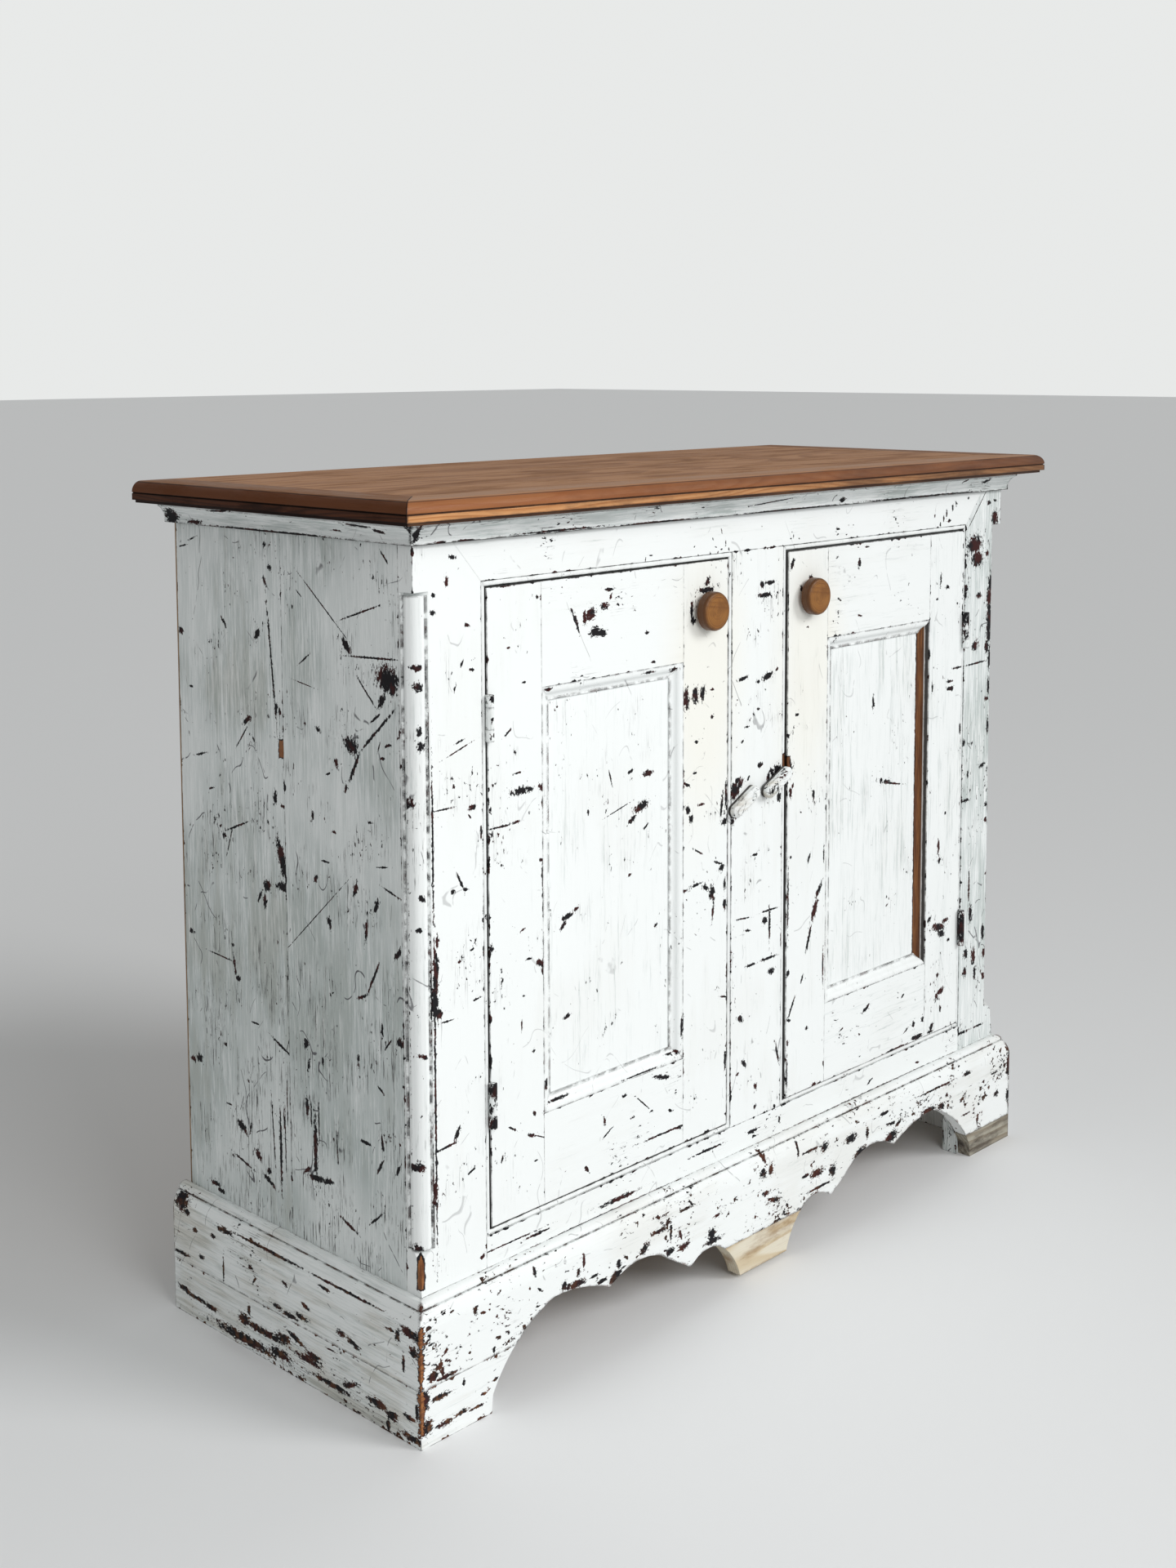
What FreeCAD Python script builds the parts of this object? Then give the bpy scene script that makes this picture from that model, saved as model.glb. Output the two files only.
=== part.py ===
import FreeCAD, Part
import math
import os

os.makedirs("parts", exist_ok=True)

V = FreeCAD.Vector

# Low painted pine cupboard, millimetres, +Z up, front towards -Y.
# The origin is on the floor, under the middle of the top.

# Carcass
carcass_width = 965.0
carcass_depth = 367.0
side_thickness = 20.0
side_joint_share = 0.50
back_thickness = 11.0
back_inset = 6.0
back_drop = 35.0
back_board_count = 4
back_board_gap = 0.8

# Heights up the front
plinth_height = 135.0
bottom_rail_reveal = 31.0
opening_height = 630.0
top_rail_width = 60.0
crown_height = 21.0
top_thickness = 22.0

# Top
top_overhang = 38.0
top_back_overhang = 20.0
edging_width = 48.0
edging_round = 11.0
edging_band = 9.3
edging_groove = 1.5
edging_step_height = 3.0
edging_step_depth = 4.0
top_joint_share = 0.52

# Face frame
frame_thickness = 20.0
mitre_run = 53.0
left_stile_width = 83.0
left_opening_share = 0.5031
centre_stile_width = 86.5
right_stile_width = 77.0
bottom_rail_hidden = 40.0
bead_width = 5.5

# Corner chamfers, their stops, the worn corners below them, and the bead let into the left one
chamfer_leg = 18.5
chamfer_lift = 43.0
chamfer_drop = 4.0
stop_middle_leg = 8.5
stop_middle_drop = 3.0
worn_corner_leg = 4.0
worn_corner_drop = 8.0
worn_corner_tip = 0.8
worn_corner_end_drop = 34.0
corner_bead_top_gap = 3.0
corner_bead_inset = 0.8
corner_bead_fillet = 3.0
corner_bead_fillet_height = 1.8
corner_bead_shoulder = 4.0
corner_bead_shoulder_height = 6.6
corner_bead_shoulder_bulge = 1.1
corner_bead_height = 7.8

# Crown moulding under the top
crown_foot = 6.0
crown_foot_height = 3.0
crown_reach = 14.0
crown_lip_height = 4.0
crown_hollow = 2.4

# Plinth
plinth_reach = 17.0
plinth_bead_radius = 6.0
plinth_bead_start = 3.5
plinth_quirk = 1.2
plinth_cove_height = 16.0
plinth_cove_hollow = 1.2
plinth_joint_height = 56.0
drop_joint_height = 44.0
drop_lift = 5.0
right_patch_height = 30.0

# Doors
door_gap = 1.6
door_thickness = 20.0
door_stile_width = 71.0
door_top_rail = 102.0
door_bottom_rail = 92.0
right_door_proud = 2.0
panel_recess = 8.0
panel_thickness = 7.0
groove_depth = 9.0
panel_slack = 2.0
panel_play = 0.3
tenon_thickness = 7.0
tenon_length = 50.0
tenon_shoulder = 18.0
tenon_play = 0.2
moulding_width = 15.0
moulding_fillet = 2.2
moulding_foot = 2.0
moulding_lip = 1.6
moulding_swell = 0.8

# Knobs
knob_radius = 20.5
knob_reach = 16.5
knob_stem_radius = 8.0
knob_stem_length = 5.5
knob_shoulder = (0.9, 3.4)
knob_round = (2.6, 1.3)
knob_spigot_radius = 3.5
knob_spigot_length = 6.0
knob_spigot_play = 0.1

# Butt hinges
hinge_height = 44.0
hinge_inset = 121.5
leaf_thickness = 1.2
leaf_width = 17.0
barrel_radius = 3.9
barrel_clearance = 0.3
end_knuckle_share = 0.26
knuckle_gap = 0.3
pin_radius = 1.5
pin_clearance = 0.05

# Turn buttons
button_long_arm = 34.0
button_short_arm = 14.0
button_long_radius = 7.0
button_short_radius = 7.6
button_thickness = 11.0
button_bevel = 3.4
button_clearance = 0.3
button_tilt = 27.0
left_button_share = 0.578
right_button_share = 0.584
screw_radius = 2.1
screw_clearance = 0.08
screw_length = 25.0
screw_head_radius = 3.5
screw_head_height = 2.0
screw_sink = 0.6
screw_slot_width = 1.0
screw_slot_depth = 0.9
washer_radius = 5.0

# Inside
bottom_board_drop = 6.0
board_thickness = 18.0
shelf_share = 0.495
shelf_setback = 6.0
shelf_play = 0.5
bearer_width = 20.0
bearer_height = 28.0
cleat_width = 22.0
cleat_height = 24.0
stop_width = 60.0
stop_depth = 15.0
stop_drop = 14.0
stop_rise = 22.0
stop_clearance = 0.3

overrun = 5.0

# Places worked out from the sizes above
left_x = -carcass_width / 2
right_x = carcass_width / 2
total_depth = top_overhang + carcass_depth + top_back_overhang
front_y = top_overhang - total_depth / 2
back_y = front_y + carcass_depth
frame_back_y = front_y + frame_thickness
opening_bottom = plinth_height + bottom_rail_reveal
opening_top = opening_bottom + opening_height
top_bottom = opening_top + top_rail_width
top_top = top_bottom + top_thickness
crown_bottom = top_bottom - crown_height
bottom_rail_bottom = plinth_height - bottom_rail_hidden
chamfer_bottom = plinth_height + chamfer_lift
chamfer_top = opening_top - chamfer_drop
bottom_board_top = opening_bottom - bottom_board_drop
shelf_top = opening_bottom + shelf_share * opening_height
clear_width = carcass_width - left_stile_width - centre_stile_width - right_stile_width
left_opening_start = left_x + left_stile_width
left_opening = (left_opening_start, left_opening_start + left_opening_share * clear_width)
right_opening = (left_opening[1] + centre_stile_width, right_x - right_stile_width)
door_inset = bead_width + door_gap
door_bottom = opening_bottom + door_inset
door_top = opening_top - door_inset
inner_left = left_x + side_thickness
inner_right = right_x - side_thickness
return_end_y = back_y + back_thickness


def box(x0, x1, y0, y1, z0, z1):
    low = V(min(x0, x1), min(y0, y1), min(z0, z1))
    return Part.makeBox(abs(x1 - x0), abs(y1 - y0), abs(z1 - z0), low)


def outline_face(start, steps, place):
    """Closed face from a start point and steps: one point is a line, two are an arc."""
    edges = []
    here = start
    for step in steps + [(start,)]:
        points = [place(here)] + [place(point) for point in step]
        if len(step) == 1:
            if (points[0] - points[1]).Length > 0:
                edges.append(Part.makeLine(points[0], points[1]))
        else:
            edges.append(Part.Arc(points[0], points[1], points[2]).toShape())
        here = step[-1]
    return Part.Face(Part.Wire(edges))


def plan_prism(points, z0, z1):
    corners = [V(x, y, z0) for x, y in points]
    face = Part.Face(Part.makePolygon(corners + corners[:1]))
    return face.extrude(V(0, 0, z1 - z0))


def front_prism(points, y0, y1):
    corners = [V(x, y0, z) for x, z in points]
    face = Part.Face(Part.makePolygon(corners + corners[:1]))
    return face.extrude(V(0, y1 - y0, 0))


def mirrored(shape):
    return shape.mirror(V(0, 0, 0), V(1, 0, 0))


def arc_mid(a, b, bulge):
    """Middle point of an arc from a to b that stands out to the left of a-b by bulge."""
    length = math.hypot(b[0] - a[0], b[1] - a[1])
    normal = (-(b[1] - a[1]) / length, (b[0] - a[0]) / length)
    return ((a[0] + b[0]) / 2 + normal[0] * bulge, (a[1] + b[1]) / 2 + normal[1] * bulge)


def save(node, shape):
    shape.exportStep("parts/" + node + ".step")


# Mouldings that run round the front and both sides, mitred at the front corners.
# A section is drawn as (distance out from the carcass, height).

def front_run(start, steps, reach_out, reach_in):
    def place(point):
        return V(left_x - reach_out, front_y - point[0], point[1])
    bar = outline_face(start, steps, place).extrude(V(carcass_width + 2 * reach_out, 0, 0))
    plan = [(left_x - reach_out, front_y - reach_out), (right_x + reach_out, front_y - reach_out),
            (right_x - reach_in, front_y + reach_in), (left_x + reach_in, front_y + reach_in)]
    return bar.common(plan_prism(plan, 0, top_top))


def left_run(start, steps, reach_out, reach_in, end_y):
    def place(point):
        return V(left_x - point[0], front_y - reach_out, point[1])
    bar = outline_face(start, steps, place).extrude(V(0, end_y - front_y + reach_out, 0))
    plan = [(left_x - reach_out, front_y - reach_out), (left_x + reach_in, front_y + reach_in),
            (left_x + reach_in, end_y), (left_x - reach_out, end_y)]
    return bar.common(plan_prism(plan, 0, top_top))


# Strips round a rectangle on the front, mitred at its corners.
# A section is drawn as (distance in from the rectangle, depth behind the face).

def strips_round(x0, x1, z0, z1, face_y, width, start, steps, sides):
    middle_x = (x0 + x1) / 2
    middle_z = (z0 + z1) / 2
    runs = {
        "bottom": (lambda p: V(x0, face_y + p[1], z0 + p[0]), V(x1 - x0, 0, 0)),
        "top": (lambda p: V(x0, face_y + p[1], z1 - p[0]), V(x1 - x0, 0, 0)),
        "left": (lambda p: V(x0 + p[0], face_y + p[1], z0), V(0, 0, z1 - z0)),
        "right": (lambda p: V(x1 - p[0], face_y + p[1], z0), V(0, 0, z1 - z0)),
    }
    level = [(x0, z0), (x1, z0), (x1 - width, z0 + width), (x0 + width, z0 + width)]
    upright = [(x0, z0), (x0 + width, z0 + width), (x0 + width, z1 - width), (x0, z1)]
    mitres = {
        "bottom": level,
        "top": [(x, 2 * middle_z - z) for x, z in level],
        "left": upright,
        "right": [(2 * middle_x - x, z) for x, z in upright],
    }
    strips = {}
    for side in sides:
        place, along = runs[side]
        bar = outline_face(start, steps, place).extrude(along)
        mitre = front_prism(mitres[side], face_y - overrun, face_y + frame_thickness + overrun)
        strips[side] = bar.common(mitre)
    return strips


# Sides, each of two upright boards that stand on the floor

side_joint_y = frame_back_y + side_joint_share * (back_y - frame_back_y)
side_front = box(left_x, inner_left, frame_back_y, side_joint_y, 0, top_bottom)
side_back = box(left_x, inner_left, side_joint_y, back_y, 0, top_bottom)
save("left_side_front_board", side_front)
save("left_side_back_board", side_back)
save("right_side_front_board", mirrored(side_front))
save("right_side_back_board", mirrored(side_back))


# Upright back boards, nailed to the back edges of the sides and shelves

back_pitch = (carcass_width - 2 * back_inset) / back_board_count
for number in range(back_board_count):
    start_x = left_x + back_inset + number * back_pitch
    end_x = start_x + back_pitch - (back_board_gap if number < back_board_count - 1 else 0)
    board = box(start_x, end_x, back_y, back_y + back_thickness, plinth_height - back_drop, top_bottom)
    save("back_board_%d" % (number + 1), board)


# Bottom board, shelf, and the bearers and cleats fixed to the sides

bottom_board = box(inner_left, inner_right, frame_back_y, back_y,
                   bottom_board_top - board_thickness, bottom_board_top)
save("bottom_board", bottom_board)
shelf = box(inner_left + shelf_play, inner_right - shelf_play, frame_back_y + shelf_setback, back_y,
            shelf_top - board_thickness, shelf_top)
save("shelf", shelf)


def bearer(top_z, width, height):
    return box(inner_left, inner_left + width, frame_back_y + shelf_setback, back_y, top_z - height, top_z)


bearers = {
    "bottom_bearers": bearer(bottom_board_top - board_thickness, bearer_width, bearer_height),
    "shelf_bearers": bearer(shelf_top - board_thickness, bearer_width, bearer_height),
    "top_cleats": bearer(top_bottom, cleat_width, cleat_height),
}
for name, left_piece in bearers.items():
    save(name, Part.makeCompound([left_piece, mirrored(left_piece)]))


# Butt hinges. The barrel stands just proud of the face, on the line of the door's gap.
# The pin is riveted into the frame's two knuckles and turns in the door's.
# side is +1 where the door reaches from its hinges towards +X, and -1 the other way.

def hinge_axis(opening, side, proud):
    hinge_edge = opening[0] if side > 0 else opening[1]
    axis_x = hinge_edge + side * (bead_width + door_gap / 2)
    return axis_x, front_y - proud - barrel_radius - barrel_clearance


def leaf_plates(opening, side, proud, centre_z):
    hinge_edge = opening[0] if side > 0 else opening[1]
    bead_face = hinge_edge + side * bead_width
    door_edge = bead_face + side * door_gap
    low = centre_z - hinge_height / 2
    high = centre_z + hinge_height / 2
    frame_plate = box(bead_face - side * leaf_thickness, bead_face,
                      front_y, front_y + leaf_width, low, high)
    door_face = front_y - proud
    door_plate = box(door_edge, door_edge + side * leaf_thickness,
                     door_face, door_face + leaf_width, low, high)
    return frame_plate, door_plate


def hinge(opening, side, proud, centre_z):
    axis_x, axis_y = hinge_axis(opening, side, proud)
    low = centre_z - hinge_height / 2
    high = centre_z + hinge_height / 2
    plates = leaf_plates(opening, side, proud, centre_z)
    leaves = list(plates)
    bore = Part.makeCylinder(pin_radius + pin_clearance, hinge_height + 2 * overrun,
                             V(axis_x, axis_y, low - overrun))
    end_length = end_knuckle_share * hinge_height
    knuckles = [(0, low, low + end_length), (0, high - end_length, high),
                (1, low + end_length + knuckle_gap, high - end_length - knuckle_gap)]
    for which, z0, z1 in knuckles:
        plate = plates[which].BoundBox
        barrel = Part.makeCylinder(barrel_radius, z1 - z0, V(axis_x, axis_y, z0))
        strap = box(plate.XMin, plate.XMax, axis_y, front_y + leaf_thickness, z0, z1)
        leaves[which] = leaves[which].fuse(barrel).fuse(strap)
    pin = Part.makeCylinder(pin_radius, hinge_height, V(axis_x, axis_y, low))
    return leaves[0].fuse(pin).removeSplitter(), leaves[1].cut(bore).removeSplitter()


hinge_heights = (door_bottom + hinge_inset, door_top - hinge_inset)
door_makings = {
    "left": (left_opening, 1, 0.0),
    "right": (right_opening, -1, right_door_proud),
}
frame_leaves = []
door_leaves = {}
for name, (opening, side, proud) in door_makings.items():
    door_leaves[name] = []
    for centre_z in hinge_heights:
        frame_leaf, door_leaf = hinge(opening, side, proud, centre_z)
        frame_leaves.append(frame_leaf)
        door_leaves[name].append(door_leaf)
save("frame_hinge_leaves", Part.makeCompound(frame_leaves))


# Face frame: long stiles, their tops cut on a slant against the ends of the top rail

mitre_ends = (left_opening[0] - mitre_run, right_opening[1] + mitre_run)
stile_profile = [(left_x, 0), (left_opening[0], 0), (left_opening[0], opening_top),
                 (mitre_ends[0], top_bottom), (left_x, top_bottom)]
left_stile = front_prism(stile_profile, front_y, frame_back_y)
right_profile = [(right_x, 0), (right_opening[1], 0), (right_opening[1], opening_top),
                 (mitre_ends[1], top_bottom), (right_x, top_bottom)]
right_stile = front_prism(right_profile, front_y, frame_back_y)
top_rail_profile = [(left_opening[0], opening_top), (right_opening[1], opening_top),
                    (mitre_ends[1], top_bottom), (mitre_ends[0], top_bottom)]
top_rail = front_prism(top_rail_profile, front_y, frame_back_y)
bottom_rail = box(left_opening[0], right_opening[1], front_y, frame_back_y,
                  bottom_rail_bottom, opening_bottom)
centre_stile = box(left_opening[1], right_opening[0], front_y, frame_back_y, opening_bottom, opening_top)


def corner_triangle(leg, z):
    corners = [V(left_x, front_y, z), V(left_x + leg, front_y, z), V(left_x, front_y + leg, z)]
    return Part.makePolygon(corners + corners[:1])


corner_cut = Part.Face(corner_triangle(chamfer_leg, chamfer_bottom)).extrude(
    V(0, 0, chamfer_top - chamfer_bottom))
stop_steps = [(chamfer_leg, 0), (stop_middle_leg, stop_middle_drop),
              (worn_corner_leg, worn_corner_drop), (worn_corner_tip, worn_corner_end_drop)]
chamfer_stop = Part.makeLoft([corner_triangle(leg, chamfer_bottom - drop) for leg, drop in stop_steps], True, True)
stopped_chamfer = corner_cut.fuse(chamfer_stop)
save("left_stile", left_stile.cut(stopped_chamfer))
save("right_stile", right_stile.cut(mirrored(stopped_chamfer)))
save("top_rail", top_rail)
save("bottom_rail", bottom_rail)


# Corner bead: a flattened round between two fillets, glued into the left chamfer. The right
# corner has lost its bead, and its chamfer is bare.

bead_start = corner_bead_inset
bead_end = chamfer_leg * math.sqrt(2) - corner_bead_inset
slant = math.sqrt(2) / 2


def on_chamfer(point):
    along, out = point
    return V(left_x + (along - out) * slant, front_y + chamfer_leg - (along + out) * slant, chamfer_bottom)


round_start = (bead_start + corner_bead_fillet, corner_bead_fillet_height)
round_end = (bead_end - corner_bead_fillet, corner_bead_fillet_height)
shoulder_start = (round_start[0] + corner_bead_shoulder, corner_bead_shoulder_height)
shoulder_end = (round_end[0] - corner_bead_shoulder, corner_bead_shoulder_height)
corner_bead_steps = [
    ((bead_end, 0),),
    ((bead_end, corner_bead_fillet_height),),
    (round_end,),
    (arc_mid(shoulder_end, round_end, corner_bead_shoulder_bulge), shoulder_end),
    (((bead_start + bead_end) / 2, corner_bead_height), shoulder_start),
    (arc_mid(round_start, shoulder_start, corner_bead_shoulder_bulge), round_start),
    ((bead_start, corner_bead_fillet_height),),
]
corner_bead_length = chamfer_top - corner_bead_top_gap - chamfer_bottom
corner_bead_section = outline_face((bead_start, 0), corner_bead_steps, on_chamfer)
save("left_corner_bead", corner_bead_section.extrude(V(0, 0, corner_bead_length)))


# Round-edged beads that line both door openings

bead_radius = bead_width / 2
bead_steps = [
    ((0, frame_thickness),),
    ((bead_width, frame_thickness),),
    ((bead_width, bead_radius),),
    ((bead_radius, 0), (0, bead_radius)),
]
for name, (opening, side, proud) in door_makings.items():
    strips = strips_round(opening[0], opening[1], opening_bottom, opening_top, front_y, bead_width,
                          (0, bead_radius), bead_steps, ("bottom", "top", "left", "right"))
    hinge_strip = "left" if side > 0 else "right"
    for centre_z in hinge_heights:
        strips[hinge_strip] = strips[hinge_strip].cut(leaf_plates(opening, side, proud, centre_z)[0])
    save(name + "_opening_beads", Part.makeCompound(list(strips.values())))


# Turn buttons. The long arm reaches over the door when level, and clears it when tilted.
# The right one stands on a washer, because its door stands proud.

tip_run = (button_long_arm - button_long_radius) * math.cos(math.radians(button_tilt)) + button_long_radius
button_pivots = {
    "left": (left_opening[1] - bead_width + tip_run, opening_bottom + left_button_share * opening_height),
    "right": (right_opening[0] + bead_width - tip_run, opening_bottom + right_button_share * opening_height),
}
button_turns = {"left": 180.0 + button_tilt, "right": button_tilt}
button_seats = {name: front_y - proud for name, (opening, side, proud) in door_makings.items()}


def turn_button(pivot, turn, seat_y):
    long_centre = button_long_arm - button_long_radius
    short_centre = button_short_arm - button_short_radius
    back = seat_y - button_clearance

    def place(point):
        return V(point[0], back, point[1])
    steps = [
        ((button_long_arm, 0), (long_centre, button_long_radius)),
        ((-short_centre, button_short_radius),),
        ((-button_short_arm, 0), (-short_centre, -button_short_radius)),
    ]
    blank = outline_face((long_centre, -button_long_radius), steps, place).extrude(V(0, -button_thickness, 0))
    rim = [edge for edge in blank.Edges if edge.BoundBox.YMax < back - button_thickness / 2]
    button = blank.makeChamfer(button_bevel, rim)
    hole = Part.makeCylinder(screw_radius + screw_clearance, button_thickness + 2 * overrun,
                             V(0, back + overrun, 0), V(0, -1, 0))
    seat_depth = screw_sink + screw_head_height + screw_clearance
    seat = Part.makeCylinder(screw_head_radius + screw_clearance, seat_depth,
                             V(0, back - button_thickness, 0), V(0, 1, 0))
    button = button.cut(hole).cut(seat)
    button.rotate(V(0, 0, 0), V(0, -1, 0), turn)
    button.translate(V(pivot[0], 0, pivot[1]))
    return button


def button_screw(pivot, seat_y):
    face = seat_y - button_clearance - button_thickness + screw_sink
    tip = V(pivot[0], face, pivot[1])
    shank = Part.makeCylinder(screw_radius, screw_length, tip, V(0, 1, 0))
    head = Part.makeCylinder(screw_head_radius, screw_head_height, tip, V(0, 1, 0))
    slot = box(pivot[0] - screw_head_radius, pivot[0] + screw_head_radius, face, face + screw_slot_depth,
               pivot[1] - screw_slot_width / 2, pivot[1] + screw_slot_width / 2)
    return shank.fuse(head).removeSplitter().cut(slot)


screws = []
for name, pivot in button_pivots.items():
    seat_y = button_seats[name]
    save(name + "_turn_button", turn_button(pivot, button_turns[name], seat_y))
    screws.append(button_screw(pivot, seat_y))
    hole = Part.makeCylinder(screw_radius + screw_clearance, frame_thickness + 2 * overrun,
                             V(pivot[0], frame_back_y + overrun, pivot[1]), V(0, -1, 0))
    centre_stile = centre_stile.cut(hole)
    if seat_y < front_y:
        washer = Part.makeCylinder(washer_radius, front_y - seat_y,
                                   V(pivot[0], front_y, pivot[1]), V(0, -1, 0))
        screws.append(washer.cut(hole))
save("turn_button_screws", Part.makeCompound(screws))
save("centre_stile", centre_stile)


# Framed and panelled doors, hung inside the beads

knob_z = door_top - door_top_rail / 2
moulding_drop = panel_recess - moulding_lip
moulding_turn = (moulding_fillet + (moulding_width - moulding_fillet - moulding_foot) / 2, moulding_drop / 2)
moulding_steps = [
    ((moulding_fillet, 0),),
    (arc_mid((moulding_fillet, 0), moulding_turn, -moulding_swell), moulding_turn),
    (arc_mid(moulding_turn, (moulding_width - moulding_foot, moulding_drop), moulding_swell),
     (moulding_width - moulding_foot, moulding_drop)),
    ((moulding_width, moulding_drop),),
    ((moulding_width, panel_recess),),
    ((0, panel_recess),),
]


def knob(centre_x, face_y):
    def place(point):
        return V(centre_x + point[0], face_y - point[1], knob_z)
    steps = [
        ((knob_spigot_radius, -knob_spigot_length),),
        ((knob_spigot_radius, 0),),
        ((knob_stem_radius, 0),),
        ((knob_stem_radius, knob_stem_length),),
        ((knob_radius, knob_stem_length),),
        ((knob_radius, knob_reach - knob_shoulder[1]),),
        ((knob_radius - knob_shoulder[0], knob_reach - knob_round[1]),),
        ((knob_radius - knob_round[0], knob_reach),),
        ((0, knob_reach),),
    ]
    face = outline_face((0, -knob_spigot_length), steps, place)
    return face.revolve(V(centre_x, face_y, knob_z), V(0, 1, 0), 360)


def door(name, opening, side, proud, moulding_sides):
    hinge_x = opening[0] + door_inset if side > 0 else opening[1] - door_inset
    lock_x = opening[1] - door_inset if side > 0 else opening[0] + door_inset
    face_y = front_y - proud
    rear_y = face_y + door_thickness
    inner_hinge_x = hinge_x + side * door_stile_width
    inner_lock_x = lock_x - side * door_stile_width
    panel_low = door_bottom + door_bottom_rail
    panel_high = door_top - door_top_rail
    panel_face = face_y + panel_recess
    panel_rear = panel_face + panel_thickness
    tenon_face = face_y + (door_thickness - tenon_thickness) / 2
    groove = box(inner_hinge_x - side * groove_depth, inner_lock_x + side * groove_depth, panel_face,
                 panel_rear + panel_play, panel_low - groove_depth, panel_high + groove_depth)
    stiles = {
        "hinge": box(hinge_x, inner_hinge_x, face_y, rear_y, door_bottom, door_top),
        "lock": box(inner_lock_x, lock_x, face_y, rear_y, door_bottom, door_top),
    }
    rails = {}
    for rail, (low, high) in (("bottom", (door_bottom, panel_low)), ("top", (panel_high, door_top))):
        body = box(inner_hinge_x, inner_lock_x, face_y, rear_y, low, high)
        tenon = box(inner_hinge_x - side * tenon_length, inner_lock_x + side * tenon_length, tenon_face,
                    tenon_face + tenon_thickness, low + tenon_shoulder, high - tenon_shoulder)
        mortise = box(inner_hinge_x - side * (tenon_length + tenon_play),
                      inner_lock_x + side * (tenon_length + tenon_play), tenon_face - tenon_play,
                      tenon_face + tenon_thickness + tenon_play, low + tenon_shoulder - tenon_play,
                      high - tenon_shoulder + tenon_play)
        rails[rail] = body.fuse(tenon).removeSplitter().cut(groove)
        stiles = {key: stile.cut(mortise) for key, stile in stiles.items()}
    stiles = {key: stile.cut(groove) for key, stile in stiles.items()}
    for centre_z in hinge_heights:
        stiles["hinge"] = stiles["hinge"].cut(leaf_plates(opening, side, proud, centre_z)[1])
    knob_x = (inner_lock_x + lock_x) / 2
    spigot_hole = Part.makeCylinder(knob_spigot_radius + knob_spigot_play,
                                    knob_spigot_length + knob_spigot_play,
                                    V(knob_x, face_y, knob_z), V(0, 1, 0))
    stiles["lock"] = stiles["lock"].cut(spigot_hole)
    bite = groove_depth - panel_slack
    panel = box(inner_hinge_x - side * bite, inner_lock_x + side * bite, panel_face, panel_rear,
                panel_low - bite, panel_high + bite)
    mouldings = strips_round(min(inner_hinge_x, inner_lock_x), max(inner_hinge_x, inner_lock_x),
                             panel_low, panel_high, face_y, moulding_width, (0, 0), moulding_steps,
                             moulding_sides)
    save(name + "_door_hinge_stile", stiles["hinge"])
    save(name + "_door_lock_stile", stiles["lock"])
    save(name + "_door_top_rail", rails["top"])
    save(name + "_door_bottom_rail", rails["bottom"])
    save(name + "_door_panel", panel)
    save(name + "_door_panel_mouldings", Part.makeCompound(list(mouldings.values())))
    save(name + "_door_knob", knob(knob_x, face_y))
    save(name + "_door_hinge_leaves", Part.makeCompound(door_leaves[name]))


# The right door has lost the moulding beside its hinge stile
door("left", *door_makings["left"], ("bottom", "top", "left", "right"))
door("right", *door_makings["right"], ("bottom", "top", "left"))


# Stop blocks behind the top rail, one for each door

def door_stop(lock_edge, side, proud):
    x0 = lock_edge - side * (door_inset + stop_width)
    x1 = lock_edge - side * door_inset
    rear_y = frame_back_y - proud
    block = box(x0, x1, frame_back_y, frame_back_y + stop_depth,
                door_top - stop_drop, opening_top + stop_rise)
    heel = box(x0, x1, rear_y + stop_clearance, frame_back_y + overrun, door_top - stop_drop,
               opening_top - bead_width - stop_clearance)
    relief = box(x0, x1, frame_back_y, rear_y + stop_clearance, door_top - stop_drop,
                 opening_top - bead_width - stop_clearance)
    if proud > stop_clearance:
        return block.fuse(heel).removeSplitter()
    return block.cut(relief)


save("door_stops", Part.makeCompound([door_stop(left_opening[1], 1, 0.0),
                                      door_stop(right_opening[0], -1, right_door_proud)]))


# Cove moulding under the top

crown_cove_top = (crown_reach, top_bottom - crown_lip_height)
crown_cove_foot = (crown_foot, crown_bottom + crown_foot_height)
crown_steps = [
    ((crown_foot, crown_bottom),),
    (crown_cove_foot,),
    (arc_mid(crown_cove_foot, crown_cove_top, crown_hollow), crown_cove_top),
    ((crown_reach, top_bottom),),
    ((0, top_bottom),),
]
crown_start = (0, crown_bottom)
crown_span = crown_reach + overrun
left_crown = left_run(crown_start, crown_steps, crown_span, overrun, return_end_y)
save("crown_front", front_run(crown_start, crown_steps, crown_span, overrun))
save("crown_left", left_crown)
save("crown_right", mirrored(left_crown))


# Top: two wide boards inside a moulded edging

edging_in = top_overhang - edging_width
lower_band_top = top_bottom + edging_band
nose_bottom = top_top - edging_round
quarter = edging_round * (1 - slant)
edging_steps = [
    ((top_overhang - edging_step_depth, top_bottom),),
    ((top_overhang - edging_step_depth, top_bottom + edging_step_height),),
    ((top_overhang, top_bottom + edging_step_height),),
    ((top_overhang, lower_band_top),),
    ((top_overhang - edging_groove, (lower_band_top + nose_bottom) / 2),),
    ((top_overhang, nose_bottom),),
    ((top_overhang - quarter, top_top - quarter), (top_overhang - edging_round, top_top)),
    ((edging_in, top_top),),
]
edging_start = (edging_in, top_bottom)
edging_span = top_overhang + overrun
edging_end_y = back_y + top_back_overhang
left_edging = left_run(edging_start, edging_steps, edging_span, edging_width + overrun, edging_end_y)
save("top_edging_front", front_run(edging_start, edging_steps, edging_span, edging_width + overrun))
save("top_edging_left", left_edging)
save("top_edging_right", mirrored(left_edging))
top_in_x = left_x - edging_in
top_front_y = front_y - edging_in
top_joint_y = top_front_y + top_joint_share * (edging_end_y - top_front_y)
save("top_front_board", box(top_in_x, -top_in_x, top_front_y, top_joint_y, top_bottom, top_top))
save("top_back_board", box(top_in_x, -top_in_x, top_joint_y, edging_end_y, top_bottom, top_top))


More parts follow.
